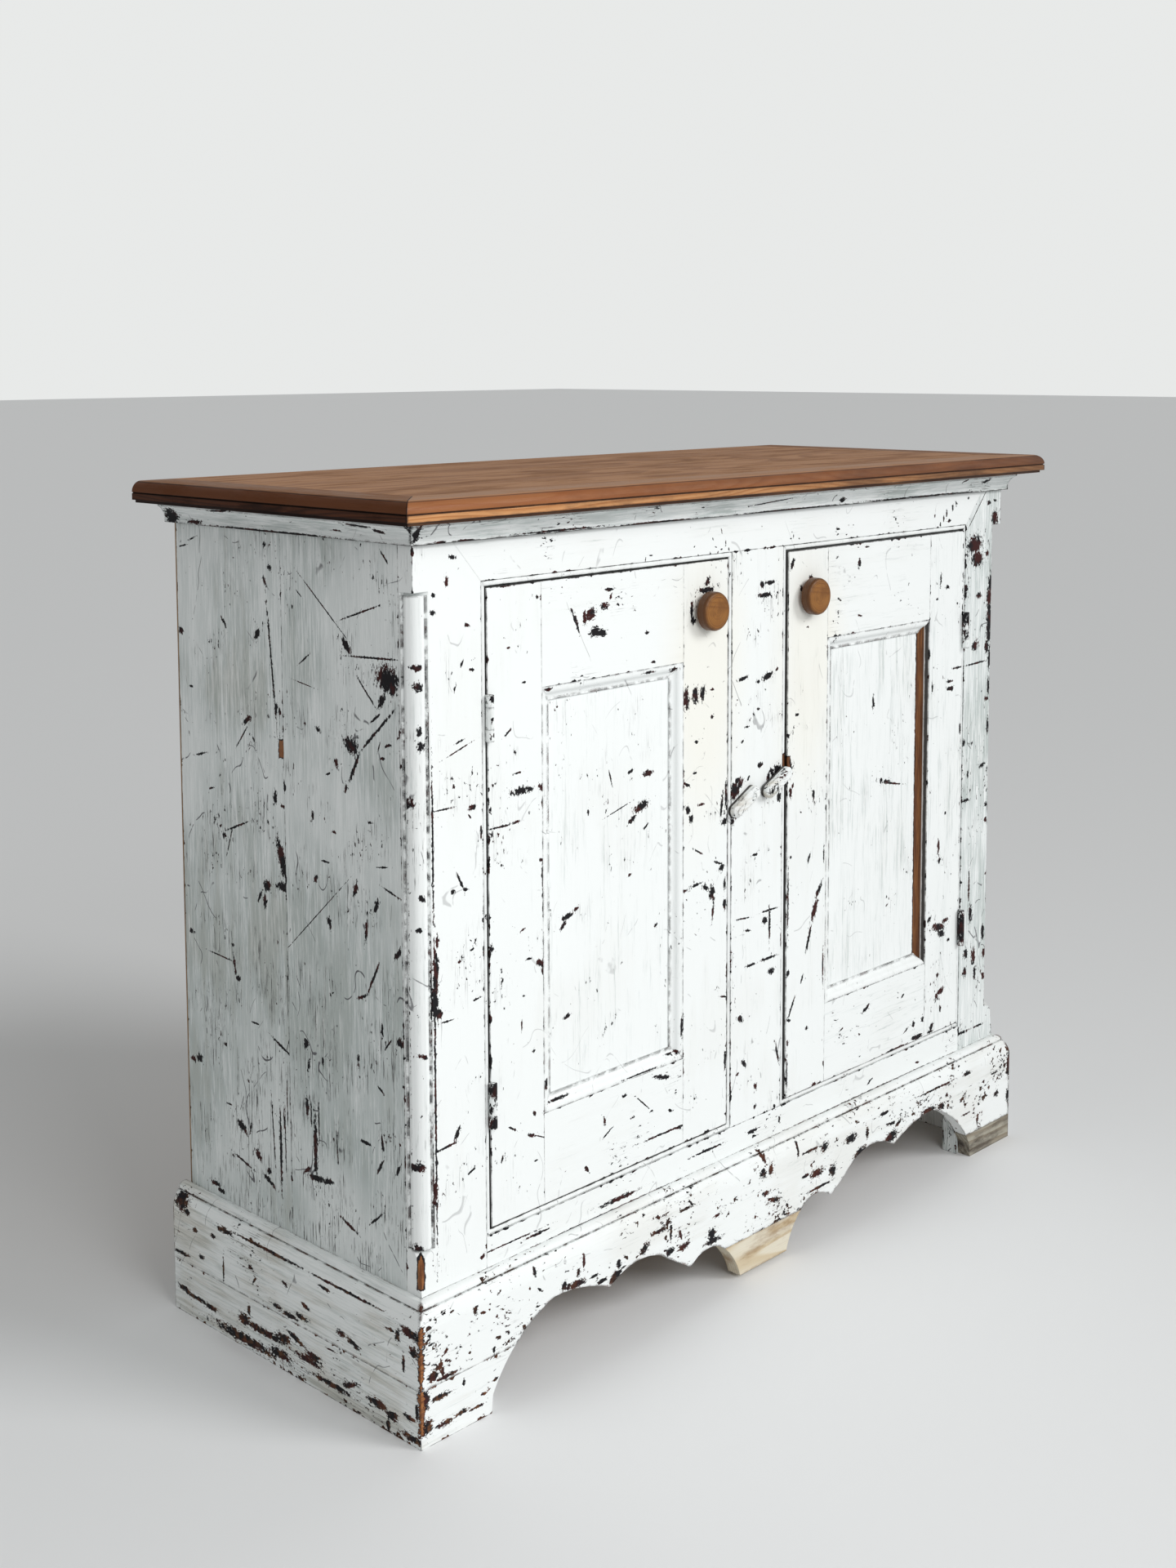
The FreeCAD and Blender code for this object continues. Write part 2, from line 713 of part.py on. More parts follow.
# Plinth: moulded boards, with a scalloped apron and a drop in the middle at the front

cove_bottom = plinth_height - plinth_bead_radius - plinth_quirk - plinth_cove_height
bead_out = plinth_bead_start + plinth_bead_radius
bead_low = plinth_height - plinth_bead_radius
bead_middle = (plinth_bead_start + plinth_bead_radius * slant, bead_low + plinth_bead_radius * slant)
cove_start = (bead_out + plinth_quirk, bead_low - plinth_quirk)
cove_end = (plinth_reach, cove_bottom)
plinth_steps = [
    ((plinth_reach, 0),),
    (cove_end,),
    (arc_mid(cove_end, cove_start, -plinth_cove_hollow), cove_start),
    ((bead_out - plinth_quirk, bead_low - plinth_quirk),),
    ((bead_out, bead_low),),
    (bead_middle, (plinth_bead_start, plinth_height)),
    ((0, plinth_height),),
]
plinth_span = plinth_reach + overrun
front_plinth = front_run((0, 0), plinth_steps, plinth_span, overrun)
left_plinth = left_run((0, 0), plinth_steps, plinth_span, overrun, return_end_y)

# Lower edge of the apron from the foot to the middle, as shares of half its length from
# the middle and of the plinth's height. Each step is a line, or an arc through two points.
apron_start_shares = (0.8218, 0.0)
apron_step_shares = [
    ((0.8178, 0.133),),
    ((0.7558, 0.422), (0.6517, 0.630)),
    ((0.5716, 0.596), (0.4935, 0.489)),
    ((0.3954, 0.589), (0.2973, 0.437)),
    ((0.2492, 0.330),),
    ((0.2412, 0.330),),
    ((0.1852, 0.402), (0.1431, 0.356)),
    ((0.1151, 0.263), (0.0811, 0.037)),
]
apron_half = carcass_width / 2 + plinth_reach


def apron_place(side):
    def place(share):
        return V(side * share[0] * apron_half, front_y - plinth_reach - overrun, share[1] * plinth_height)
    return place


def apron_opening(side):
    drop_edge_share = apron_step_shares[-1][-1][0]
    steps = apron_step_shares + [((drop_edge_share, -overrun / plinth_height),),
                                 ((apron_start_shares[0], -overrun / plinth_height),)]
    face = outline_face(apron_start_shares, steps, apron_place(side))
    return face.extrude(V(0, plinth_reach + 2 * overrun, 0))


drop_edge = apron_step_shares[-1][-1][0] * apron_half
under_drop = box(-drop_edge, drop_edge, front_y - plinth_span, front_y + overrun, -overrun, drop_lift)
apron = front_plinth.cut(apron_opening(-1)).cut(apron_opening(1)).cut(under_drop)
foot_end = apron_step_shares[1][-1][0] * apron_half
drop_end = apron_step_shares[6][0][0] * apron_half
apron_front_y = front_y - plinth_span
left_foot_region = box(left_x - plinth_span, -foot_end, apron_front_y, front_y, 0, plinth_joint_height)
right_foot_region = box(foot_end, right_x + plinth_span, apron_front_y, front_y, 0, right_patch_height)
drop_region = box(-drop_end, drop_end, apron_front_y, front_y, 0, drop_joint_height)
save("front_left_foot_strip", apron.common(left_foot_region))
save("front_right_foot_block", apron.common(right_foot_region))
save("centre_drop_block", apron.common(drop_region))
save("plinth_front_board", apron.cut(left_foot_region).cut(right_foot_region).cut(drop_region))

lower_region = box(left_x - plinth_span, left_x + overrun, apron_front_y, return_end_y,
                   0, plinth_joint_height)
left_lower = left_plinth.common(lower_region)
left_upper = left_plinth.cut(lower_region)
save("plinth_left_board", left_upper)
save("plinth_left_lower_strip", left_lower)
save("plinth_right_board", mirrored(left_upper))
save("plinth_right_lower_strip", mirrored(left_lower))
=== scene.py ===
import math

import bmesh
import bpy
from mathutils import Matrix, Vector


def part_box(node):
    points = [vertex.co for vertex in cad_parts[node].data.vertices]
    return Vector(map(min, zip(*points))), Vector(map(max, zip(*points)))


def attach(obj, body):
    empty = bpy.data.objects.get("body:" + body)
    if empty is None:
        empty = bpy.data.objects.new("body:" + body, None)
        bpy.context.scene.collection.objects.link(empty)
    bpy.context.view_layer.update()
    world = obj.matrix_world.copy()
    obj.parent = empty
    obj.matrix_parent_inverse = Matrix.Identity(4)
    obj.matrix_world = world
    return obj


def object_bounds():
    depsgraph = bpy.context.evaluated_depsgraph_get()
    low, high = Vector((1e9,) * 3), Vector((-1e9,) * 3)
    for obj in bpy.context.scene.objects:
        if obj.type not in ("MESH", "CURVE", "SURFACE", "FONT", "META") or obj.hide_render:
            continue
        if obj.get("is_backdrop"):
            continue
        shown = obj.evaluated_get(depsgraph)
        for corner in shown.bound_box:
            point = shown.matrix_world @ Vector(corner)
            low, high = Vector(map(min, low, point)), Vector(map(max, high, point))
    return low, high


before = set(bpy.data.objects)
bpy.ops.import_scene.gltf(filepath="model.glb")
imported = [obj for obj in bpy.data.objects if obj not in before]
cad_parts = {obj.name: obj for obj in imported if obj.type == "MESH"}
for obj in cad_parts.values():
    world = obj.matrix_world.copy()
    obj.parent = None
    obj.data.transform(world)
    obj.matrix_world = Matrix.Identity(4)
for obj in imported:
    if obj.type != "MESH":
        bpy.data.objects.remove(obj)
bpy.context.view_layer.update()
scene = bpy.context.scene

# Camera: it stands a little above the cupboard's top, out from the front left corner,
# and looks slightly down across both the front and the left side.
camera_place = Vector((-1.60437, -1.47827, 1.00277))
camera_right = Vector((0.69519742, -0.71881089, -0.00338379))
camera_down = Vector((-0.07531591, -0.06815859, -0.99482758))
camera_ahead = Vector((0.71486226, 0.69185643, -0.10152157))
camera = bpy.data.objects.new("camera", bpy.data.cameras.new("camera"))
scene.collection.objects.link(camera)
turn = Matrix((camera_right, -camera_down, -camera_ahead)).transposed()
camera.matrix_world = Matrix.LocRotScale(camera_place, turn.to_quaternion(), None)
camera.data.lens = 44.456
camera.data.sensor_width = 36
camera.data.shift_y = -0.1474
scene.camera = camera

# Floor and light: a plain pale floor, a soft sun from the front right, a large soft lamp
# nearer the left front that leaves the far stile a little darker, and an even pale fill.
floor_colour = (0.84, 0.845, 0.85, 1)
floor_size = 40.0
floor_mesh = bmesh.new()
bmesh.ops.create_grid(floor_mesh, x_segments=2, y_segments=2, size=floor_size)
floor = bpy.data.objects.new("floor", bpy.data.meshes.new("floor"))
floor_mesh.to_mesh(floor.data)
floor_mesh.free()
scene.collection.objects.link(floor)
floor_paint = bpy.data.materials.new("floor")
floor_paint.use_nodes = True
floor_shader = floor_paint.node_tree.nodes["Principled BSDF"]
floor_shader.inputs["Base Color"].default_value = floor_colour
floor_shader.inputs["Roughness"].default_value = 0.8
floor_shader.inputs["Specular IOR Level"].default_value = 0.2
floor.data.materials.append(floor_paint)
floor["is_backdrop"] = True

key = bpy.data.objects.new("key_lamp", bpy.data.lights.new("key_lamp", "SUN"))
scene.collection.objects.link(key)
key.data.angle = math.radians(24)
key.data.energy = 1.35
key_from = Vector((0.42, -0.78, 0.50))
key.matrix_world = Matrix.LocRotScale(None, (-key_from).to_track_quat("-Z", "Y"), None)

near_lamp = bpy.data.objects.new("near_lamp", bpy.data.lights.new("near_lamp", "AREA"))
scene.collection.objects.link(near_lamp)
near_lamp.data.size = 1.2
near_lamp.data.energy = 18.5
near_from = Vector((-0.75, -2.1, 1.7))
near_aim = Vector((-0.1, -0.1, 0.5))
near_lamp.matrix_world = Matrix.LocRotScale(near_from, (near_aim - near_from).to_track_quat("-Z", "Y"), None)

world = bpy.data.worlds.new("surrounding")
scene.world = world
world.use_nodes = True
sky = world.node_tree
sky_seen = sky.nodes.new("ShaderNodeLightPath").outputs["Is Camera Ray"]
sky_level = sky.nodes.new("ShaderNodeMapRange")
sky.links.new(sky_seen, sky_level.inputs["Value"])
sky_level.inputs["To Min"].default_value = 0.385
sky_level.inputs["To Max"].default_value = 0.82
sky_light = sky.nodes["Background"]
sky_light.inputs["Color"].default_value = (0.985, 1.0, 0.99, 1)
sky.links.new(sky_level.outputs["Result"], sky_light.inputs["Strength"])
scene.view_settings.view_transform = "Standard"

# Left and right sides: two upright pine boards each, under old white paint that has chipped
# down to a dark undercoat. The left one carries deep scars, the right one is a quieter twin.
WHITE = (0.86, 0.885, 0.88, 1)
THIN = (0.49, 0.545, 0.535, 1)
CREAM = (0.86, 0.80, 0.64, 1)
GRIME = (0.42, 0.34, 0.22, 1)
BLACK = (0.006, 0.005, 0.007, 1)
MAROON = (0.040, 0.007, 0.006, 1)
BARE = (0.36, 0.145, 0.045, 1)
BARE_DARK = (0.16, 0.055, 0.020, 1)
BARE_AGED = (0.012, 0.005, 0.003, 1)
DRY_BRUSH = (0.10, 0.10, 0.10, 1)
SCRATCHED = (0.13, 0.13, 0.14, 1)
GAP_SHADE = (0.014, 0.011, 0.010, 1)


def fill(tree, node, put):
    for socket, value in put.items():
        if isinstance(value, bpy.types.NodeSocket):
            tree.links.new(value, node.inputs[socket])
        else:
            node.inputs[socket].default_value = value


def add(tree, kind, out=0, put=None, **settings):
    node = tree.nodes.new("ShaderNode" + kind)
    for name, value in settings.items():
        setattr(node, name, value)
    fill(tree, node, put or {})
    return node.outputs[out]


def reckon(tree, operation, *values, clamp=False):
    return add(tree, "Math", put=dict(enumerate(values)), operation=operation, use_clamp=clamp)


def times(tree, first, second):
    return reckon(tree, "MULTIPLY", first, second)


def plus(tree, first, second, clamp=False):
    return reckon(tree, "ADD", first, second, clamp=clamp)


def minus(tree, first, second, clamp=False):
    return reckon(tree, "SUBTRACT", first, second, clamp=clamp)


def vectors(tree, operation, *values, out=0):
    return add(tree, "VectorMath", out=out, put=dict(enumerate(values)), operation=operation)


def flatness(tree, reach):
    rounded = add(tree, "Bevel", put={"Radius": reach}, samples=6)
    return vectors(tree, "DOT_PRODUCT", rounded, add(tree, "NewGeometry", out="True Normal"), out=1)


def ramp(tree, value, start, end, low=0.0, high=1.0):
    put = {"Value": value, "From Min": start, "From Max": end, "To Min": low, "To Max": high}
    return add(tree, "MapRange", put=put, interpolation_type="SMOOTHSTEP")


def parts(tree, vector):
    split = tree.nodes.new("ShaderNodeSeparateXYZ")
    tree.links.new(vector, split.inputs[0])
    return split.outputs


def mix(tree, share, first, second):
    return add(tree, "Mix", out=2, put={0: share, 6: first, 7: second}, data_type="RGBA")


def speckle(tree, place, scale, detail=3.0, roughness=0.55, distortion=0.0):
    stretched = add(tree, "Mapping", put={"Vector": place, "Scale": scale})
    return add(tree, "TexNoise", put={"Vector": stretched, "Scale": 1.0, "Detail": detail,
                                      "Roughness": roughness, "Distortion": distortion})


def new_group(name, inputs, outputs):
    tree = bpy.data.node_groups.new(name, "ShaderNodeTree")
    for label, kind, value in inputs:
        socket = tree.interface.new_socket(label, in_out="INPUT", socket_type="NodeSocket" + kind)
        if value is not None:
            socket.default_value = value
    for label, kind in outputs:
        tree.interface.new_socket(label, in_out="OUTPUT", socket_type="NodeSocket" + kind)
    return tree, tree.nodes.new("NodeGroupInput").outputs, tree.nodes.new("NodeGroupOutput").inputs


def place_group(tree, group, put):
    node = tree.nodes.new("ShaderNodeGroup")
    node.node_tree = group
    fill(tree, node, put)
    return node.outputs


def in_box(tree, group, place, low, high):
    return place_group(tree, group, {"Place": place, "Low corner": low, "High corner": high})[0]


def box_group(name, label):
    corners = [(corner, "Vector", None) for corner in ("Place", "Low corner", "High corner")]
    tree, given, result = new_group(name, corners, [(label, "Float")])
    to_low = vectors(tree, "SUBTRACT", given["Place"], given["Low corner"])
    to_high = vectors(tree, "SUBTRACT", given["High corner"], given["Place"])
    nearest = vectors(tree, "MINIMUM", to_low, to_high)
    return tree, parts(tree, nearest), result[label]


# how far a point of a board is from its nearest sharp edge
arris, (x, y, z), distance = box_group("arris distance", "Distance")
smaller = reckon(arris, "MINIMUM", x, y)
larger = reckon(arris, "MAXIMUM", x, y)
second = reckon(arris, "MAXIMUM", smaller, reckon(arris, "MINIMUM", larger, z))
arris.links.new(reckon(arris, "MAXIMUM", second, 0.0), distance)

# how deep a point lies inside a box, such as a place where the paint has gone altogether
patch, (x, y, z), depth = box_group("patch depth", "Depth")
patch.links.new(reckon(patch, "MINIMUM", reckon(patch, "MINIMUM", x, y), z), depth)

# old brushed paint: streaks along the grain, chips, rubbed edges and placed scars
coat, given, result = new_group(
    "old paint",
    [("Place", "Vector", None), ("Grain place", "Vector", None), ("Edge distance", "Float", 1.0),
     ("Scar nearness", "Float", 9.0), ("Chips", "Float", 0.5), ("Thin", "Float", 0.3),
     ("Cream", "Float", 0.0), ("Grime", "Float", 0.04), ("Worn edges", "Float", 0.5),
     ("Scratches", "Float", 0.5), ("Wood shown", "Float", 0.0), ("Stripped depth", "Float", -1.0),
     ("Stripped rag", "Float", 0.012), ("Crevice depth", "Float", -1.0), ("Bare tone", "Float", 1.0)],
    [("Color", "Color"), ("Roughness", "Float"), ("Height", "Float")])
place = given["Place"]
grain = given["Grain place"]
bristle = speckle(coat, grain, (400, 400, 22), 5, 0.72, 0.15)
brush = speckle(coat, grain, (75, 75, 8), 4, 0.62)
cloud = speckle(coat, place, (7, 7, 7), 2, 0.5)
clump = speckle(coat, place, (19, 19, 19), 3, 0.6)
ragged = speckle(coat, grain, (420, 420, 210), 5, 0.72)
island = speckle(coat, grain, (340, 340, 200), 3, 0.55)
flake = speckle(coat, grain, (250, 250, 140), 4, 0.62, 0.25)
nibble = speckle(coat, place, (90, 90, 90), 3, 0.6)
under = speckle(coat, place, (60, 60, 60), 2, 0.5)

# streaks
streak = plus(coat, times(coat, bristle, 0.68), times(coat, brush, 0.32))
streak_start = minus(coat, 0.62, times(coat, given["Thin"], 0.22))
streak_end = plus(coat, streak_start, 0.22)
thinness = times(coat, ramp(coat, streak, streak_start, streak_end),
                 ramp(coat, cloud, 0.35, 0.62, 0.35, 1.0))
colour = mix(coat, thinness, WHITE, THIN)

# white gone cream where hands have touched it, round and below the two knobs, and grime
hands_along = (-0.082, 0.092)
hands_height = 0.665
hands_reach = (0.075, 5, 0.19)
handled = None
for along in hands_along:
    local = add(coat, "Mapping", vector_type="TEXTURE", put={
        "Vector": place, "Location": (along, 0, hands_height), "Scale": hands_reach})
    away = vectors(coat, "LENGTH", local, out=1)
    handled = away if handled is None else reckon(coat, "MINIMUM", handled, away)
handled = plus(coat, handled, times(coat, minus(coat, cloud, 0.5), 0.8))
creaminess = times(coat, given["Cream"], ramp(coat, handled, 0.25, 1.15, 1.0, 0.0))
colour = mix(coat, creaminess, colour, CREAM)
grimy = times(coat, given["Grime"], ramp(coat, plus(coat, cloud, times(coat, brush, 0.6)), 0.78, 0.98))
colour = mix(coat, grimy, colour, GRIME)

# dry brush marks: short dark hairs along the grain, in patches
hairs = ramp(coat, speckle(coat, grain, (1000, 1000, 34), 3, 0.62), 0.575, 0.635)
hair_start = minus(coat, 0.73, times(coat, given["Scratches"], 0.09))
hairy = ramp(coat, plus(coat, clump, times(coat, brush, 0.3)), hair_start, plus(coat, hair_start, 0.14))
dry = times(coat, times(coat, hairs, hairy), given["Scratches"])
colour = mix(coat, dry, colour, DRY_BRUSH)

# fine scratches: thin wandering lines, broken up
lines = []
for lean, size in ((0.5, 15), (-0.45, 21)):
    leaning = add(coat, "Mapping", put={"Vector": place, "Rotation": (lean, lean, 0.0)})
    level = speckle(coat, leaning, (size, size, size / 2.5), 1.5, 0.4)
    off_line = reckon(coat, "ABSOLUTE", minus(coat, level, 0.5))
    line = ramp(coat, off_line, 0.0015, 0.005, 1.0, 0.0)
    broken = ramp(coat, speckle(coat, leaning, (19, 19, 19), 3, 0.7), 0.56, 0.60)
    lines.append(times(coat, line, broken))
scratch = times(coat, reckon(coat, "MAXIMUM", *lines), given["Scratches"])
colour = mix(coat, scratch, colour, SCRATCHED)

# chips
chip_level = plus(coat, flake, times(coat, minus(coat, clump, 0.5), 0.55))
chip_start = minus(coat, 0.765, times(coat, given["Chips"], 0.14))
chips = ramp(coat, chip_level, chip_start, plus(coat, chip_start, 0.015))

# rubbed edges, and a dark hairline along them
uneven_reach = minus(coat, plus(coat, nibble, times(coat, clump, 0.5)), 0.80)
edge_reach = times(coat, given["Worn edges"], times(coat, uneven_reach, 0.030))
worn_further = reckon(coat, "MAXIMUM", minus(coat, given["Worn edges"], 1.0), 0.0)
edge_reach = plus(coat, edge_reach, times(coat, worn_further, 0.004))
rubbed = ramp(coat, minus(coat, edge_reach, given["Edge distance"]), -0.0001, 0.0002)
hairline = times(coat, ramp(coat, given["Edge distance"], 0.0002, 0.0007, 1.0, 0.0),
                 ramp(coat, nibble, 0.36, 0.56, 0.0, 0.9))

# placed scars, with islands of paint left in them
rag = times(coat, minus(coat, ragged, 0.5), 3.0)
spread = times(coat, given["Scar nearness"], plus(coat, rag, 1.0))
kept = times(coat, ramp(coat, island, 0.60, 0.62), ramp(coat, given["Scar nearness"], 0.35, 0.75))
scar = minus(coat, ramp(coat, spread, 0.88, 0.96, 1.0, 0.0), kept, clamp=True)

# what shows where the paint has gone: dark undercoat, or wood
shallow = reckon(coat, "MAXIMUM", chips, rubbed)
bare = reckon(coat, "MAXIMUM", shallow, scar)
dark = mix(coat, ramp(coat, under, 0.50, 0.62), BLACK, MAROON)
wood_share = times(coat, given["Wood shown"], ramp(coat, nibble, 0.48, 0.60))
bare_wood = mix(coat, ramp(coat, bristle, 0.42, 0.62), BARE_DARK, BARE)
bare_wood = mix(coat, given["Bare tone"], BARE_AGED, bare_wood)
bare_colour = mix(coat, wood_share, dark, bare_wood)
colour = mix(coat, hairline, colour, DRY_BRUSH)
colour = mix(coat, bare, colour, bare_colour)

# patches stripped to the wood inside a dark rim, and painted shade in the gaps
rag = plus(coat, nibble, times(coat, ragged, 0.9))
rag = times(coat, minus(coat, rag, 0.95), given["Stripped rag"])
stripped_depth = plus(coat, given["Stripped depth"], rag)
colour = mix(coat, ramp(coat, stripped_depth, -0.0016, -0.0012), colour, dark)
stripped = ramp(coat, stripped_depth, 0.0, 0.0004)
colour = mix(coat, stripped, colour, bare_wood)
# painted shade: faces inside the crevice box turn near black
deep = plus(coat, given["Crevice depth"], times(coat, minus(coat, nibble, 0.5), 0.0022))
colour = mix(coat, ramp(coat, deep, 0.0, 0.0009, 0.0, 0.92), colour, GAP_SHADE)
coat.links.new(colour, result["Color"])
height = plus(coat, times(coat, streak, 0.22), times(coat, shallow, -0.30))
coat.links.new(height, result["Height"])
coat.links.new(ramp(coat, bare, 0, 1, 0.46, 0.72), result["Roughness"])

GRAIN_TURN = {"up": (0.0, 0.0, 0.0), "across": (0.0, math.pi / 2, 0.0), "back": (math.pi / 2, 0.0, 0.0)}


def start_material(name):
    material = bpy.data.materials.new(name)
    material.use_nodes = True
    tree = material.node_tree
    tree.nodes.clear()
    place = add(tree, "TexCoord", out="Object")
    return material, tree, place


def finish_material(tree, colour, roughness, height, soften=0.0012, metallic=0.0, bump=0.001, gloss=0.25):
    rounded = add(tree, "Bevel", put={"Radius": soften}, samples=4)
    bumped = add(tree, "Bump", put={"Height": height, "Distance": bump, "Strength": 1.0, "Normal": rounded})
    shader = add(tree, "BsdfPrincipled", put={"Base Color": colour, "Roughness": roughness, "Normal": bumped,
                                              "Metallic": metallic, "Specular IOR Level": gloss})
    tree.links.new(shader, tree.nodes.new("ShaderNodeOutputMaterial").inputs["Surface"])


def dress(node, material):
    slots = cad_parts[node].material_slots
    for slot in slots:
        slot.link = "OBJECT"
        slot.material = material
    if not slots:
        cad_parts[node].data.materials.append(material)


def nearest_scar(tree, place, scars, face):
    """Each scar: place along, height, half length and half width in mm, and any lean in degrees."""
    nearest = None
    for along, up, half_length, half_width, *leaning in scars:
        lean = math.radians(sum(leaning))
        if face == "front":
            put = {"Location": (along / 1000, 0, up / 1000), "Rotation": (0, -lean, 0),
                   "Scale": (half_length / 1000, 5, half_width / 1000)}
        else:
            put = {"Location": (0, along / 1000, up / 1000), "Rotation": (lean, 0, 0),
                   "Scale": (5, half_length / 1000, half_width / 1000)}
        local = add(tree, "Mapping", put={"Vector": place, **put}, vector_type="TEXTURE")
        far = vectors(tree, "LENGTH", local, out=1)
        nearest = far if nearest is None else reckon(tree, "MINIMUM", nearest, far)
    return nearest


def painted(node, grain="up", seed=0.0, scars=(), face="front", shaped=False, stripped=None, crevice=None,
            darker_low=0.0, **wear):
    material, tree, place = start_material(node)
    along = add(tree, "Mapping", put={"Vector": place, "Rotation": GRAIN_TURN[grain],
                                      "Location": (seed * 0.37, seed * 0.91, seed * 0.53)})
    low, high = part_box(node)
    axis = 1 if face == "front" else 0
    outer_share = 0.75 if shaped else 0.5
    deep = low[axis] + outer_share * (high[axis] - low[axis])
    xyz = parts(tree, place)
    if shaped:
        # a moulded piece has edges where its surface turns, not where its box ends
        same = flatness(tree, 0.006)
        distance = ramp(tree, same, 0.80, 0.995, 0.0002, 0.008)
    else:
        distance = in_box(tree, arris, place, low, high)
    put = {"Place": place, "Grain place": along, "Edge distance": distance}
    put.update({name.replace("_", " ").capitalize(): value for name, value in wear.items()})
    # darker towards the bottom: thin streaks, scratches and dry brush hairs rise low down, on the left side
    # partly painted shade
    if darker_low:
        low_down, high_up = 0.15, 0.75
        for name, further in (("thin", 0.35), ("scratches", 1.0)):
            most = wear[name] + further * darker_low
            put[name.capitalize()] = ramp(tree, xyz[2], low_down, high_up, most, wear[name])
    if scars:
        behind = ramp(tree, xyz[axis], deep - 0.001, deep + 0.001, 0.0, 9.0)
        put["Scar nearness"] = plus(tree, nearest_scar(tree, place, scars, face), behind)
    if stripped:
        low, high = stripped
        if not shaped:
            high = [min(value, deep) if index == axis else value for index, value in enumerate(high)]
        put["Stripped depth"] = in_box(tree, patch, place, low, high)
    if crevice:
        put["Crevice depth"] = in_box(tree, patch, place, *crevice)
    paint = place_group(tree, coat, put)
    finish_material(tree, paint["Color"], paint["Roughness"], paint["Height"])
    dress(node, material)


# On the left boards the heavy grey streaks, heavier still towards the bottom, are partly thin paint and
# partly painted shade.
painted("left_side_front_board", seed=1, face="side", thin=1.1, darker_low=1.0, chips=0.5, scratches=0.8,
        grime=0.08, scars=[
    (-138, 710, 18, 14, 20), (-146, 703, 8, 7, 80), (-120, 672, 9, 1.5, -35), (-130, 690, 9, 4, -60),
    (-84, 642, 11, 8, 20), (-122, 660, 40, 1.6, -42), (-88, 620, 22, 2.2, -62), (-76, 600, 5, 2, -70),
    (-62, 622, 5, 3.5, 60), (-50, 610, 4, 1.2, -20), (-35, 651, 4, 3, 30), (-80, 735, 9, 4, 45),
    (-120, 728, 40, 1.2, -3), (-45, 770, 46, 0.8, 38), (-100, 768, 32, 1, -18), (-136, 822, 9, 1.2, 48),
    (-10, 778, 5, 0.8, 35), (-16, 716, 10, 1, -35), (-108, 695, 16, 1.2, 45), (-15, 692, 16, 0.6, 8),
    (-138, 649, 6, 2, -15), (-130, 636, 4, 1.6, -10), (-125, 646, 6, 1, -70), (-110, 573, 3, 1.5),
    (-57, 555, 3, 1.5), (-25, 566, 2, 6), (-44, 524, 6, 1.2), (-128, 534, 9, 1, -10), (-88, 506, 4, 8, 20),
    (-140, 512, 14, 1.2, 15), (-118, 495, 3, 8, 20), (-28, 505, 3, 5, 30), (-160, 500, 2.2, 18),
    (-160, 420, 2, 70), (-160, 340, 2.5, 22), (-160, 255, 2.2, 60), (-112, 425, 20, 1.6, -62),
    (-96, 404, 10, 1.8, -25), (-148, 456, 8, 3, -45), (-124, 377, 2, 8), (-103, 470, 2, 16, 8),
    (-48, 465, 3, 7, -15), (-30, 470, 70, 0.6, -42), (-34, 325, 2, 5), (-88, 343, 2, 5, 10),
    (-98, 262, 9, 2), (-122, 268, 2, 10, -10), (-118, 244, 10, 2, -60), (-144, 248, 2, 7, 25),
    (-20, 236, 3.5, 34), (-8, 273, 3, 11), (-22, 204, 17, 3.5, -4), (-40, 206, 9, 3, -15),
    (-26, 262, 1.2, 22), (-14, 268, 1.2, 16), (-54, 244, 1, 20, -4), (-6, 208, 7, 2, -40),
    (-150, 372, 6, 4), (-132, 366, 9, 1, -50), (-110, 190, 14, 1.4, -40), (-70, 172, 14, 2, 20),
    (-120, 320, 6, 1.5, 30), (-8, 336, 4, 6), (-12, 316, 2, 8, 15)])
painted("left_side_back_board", seed=2, face="side", thin=1.1, darker_low=1.0, chips=0.5, scratches=0.8,
        grime=0.15, stripped=((-1, 0.0185, 0.615), (1, 0.0260, 0.633)), stripped_rag=0.006, scars=[
    (26, 517, 6, 20, -18), (20, 504, 8, 9), (22, 488, 16, 4, -12), (16, 484, 14, 3), (50, 483, 7, 6, -30),
    (54, 466, 3, 8), (62, 470, 2, 8, 30), (34, 573, 3.5, 7, 10), (20, 567, 6, 2), (30, 662, 2.6, 8),
    (36, 710, 1.6, 60, -6), (58, 733, 4, 6, 20), (44, 785, 7, 2, 60), (36, 800, 3, 4), (78, 645, 9, 3, -35),
    (86, 628, 20, 1, -50), (120, 522, 4, 3), (100, 534, 24, 1.2, -22), (112, 515, 18, 0.9, -70),
    (158, 600, 10, 1.4, -15), (172, 668, 4, 1.5), (188, 724, 4, 4), (140, 567, 5, 1.2, -15),
    (113, 740, 7, 2, 50), (165, 820, 8, 1, -20), (180, 812, 10, 0.9, -12), (110, 410, 3, 2),
    (107, 388, 2, 14, -10), (102, 377, 4, 3.5), (130, 394, 24, 0.9, 3), (182, 410, 4, 3),
    (12, 350, 36, 0.9, -68), (30, 323, 20, 1.6, 22), (24, 268, 1, 26), (75, 337, 7, 1.2),
    (36, 218, 2.2, 46), (48, 236, 1, 38, -4), (28, 228, 1, 34), (30, 250, 1, 14), (56, 178, 12, 3, 25),
    (74, 200, 7, 4, 40), (100, 186, 18, 1.6, 15), (150, 147, 9, 3), (140, 142, 6, 3), (172, 276, 6, 5, -30),
    (122, 240, 5, 1.5), (184, 272, 5, 3, 10), (100, 222, 10, 5, 30), (56, 188, 4, 4), (24, 660, 2, 4),
    (126, 302, 3, 2), (86, 225, 2, 6, 20)])
painted("right_side_front_board", seed=3, face="side", thin=0.8, chips=0.5, scratches=0.8)
painted("right_side_back_board", seed=4, face="side", thin=0.8, chips=0.5, scratches=0.8)

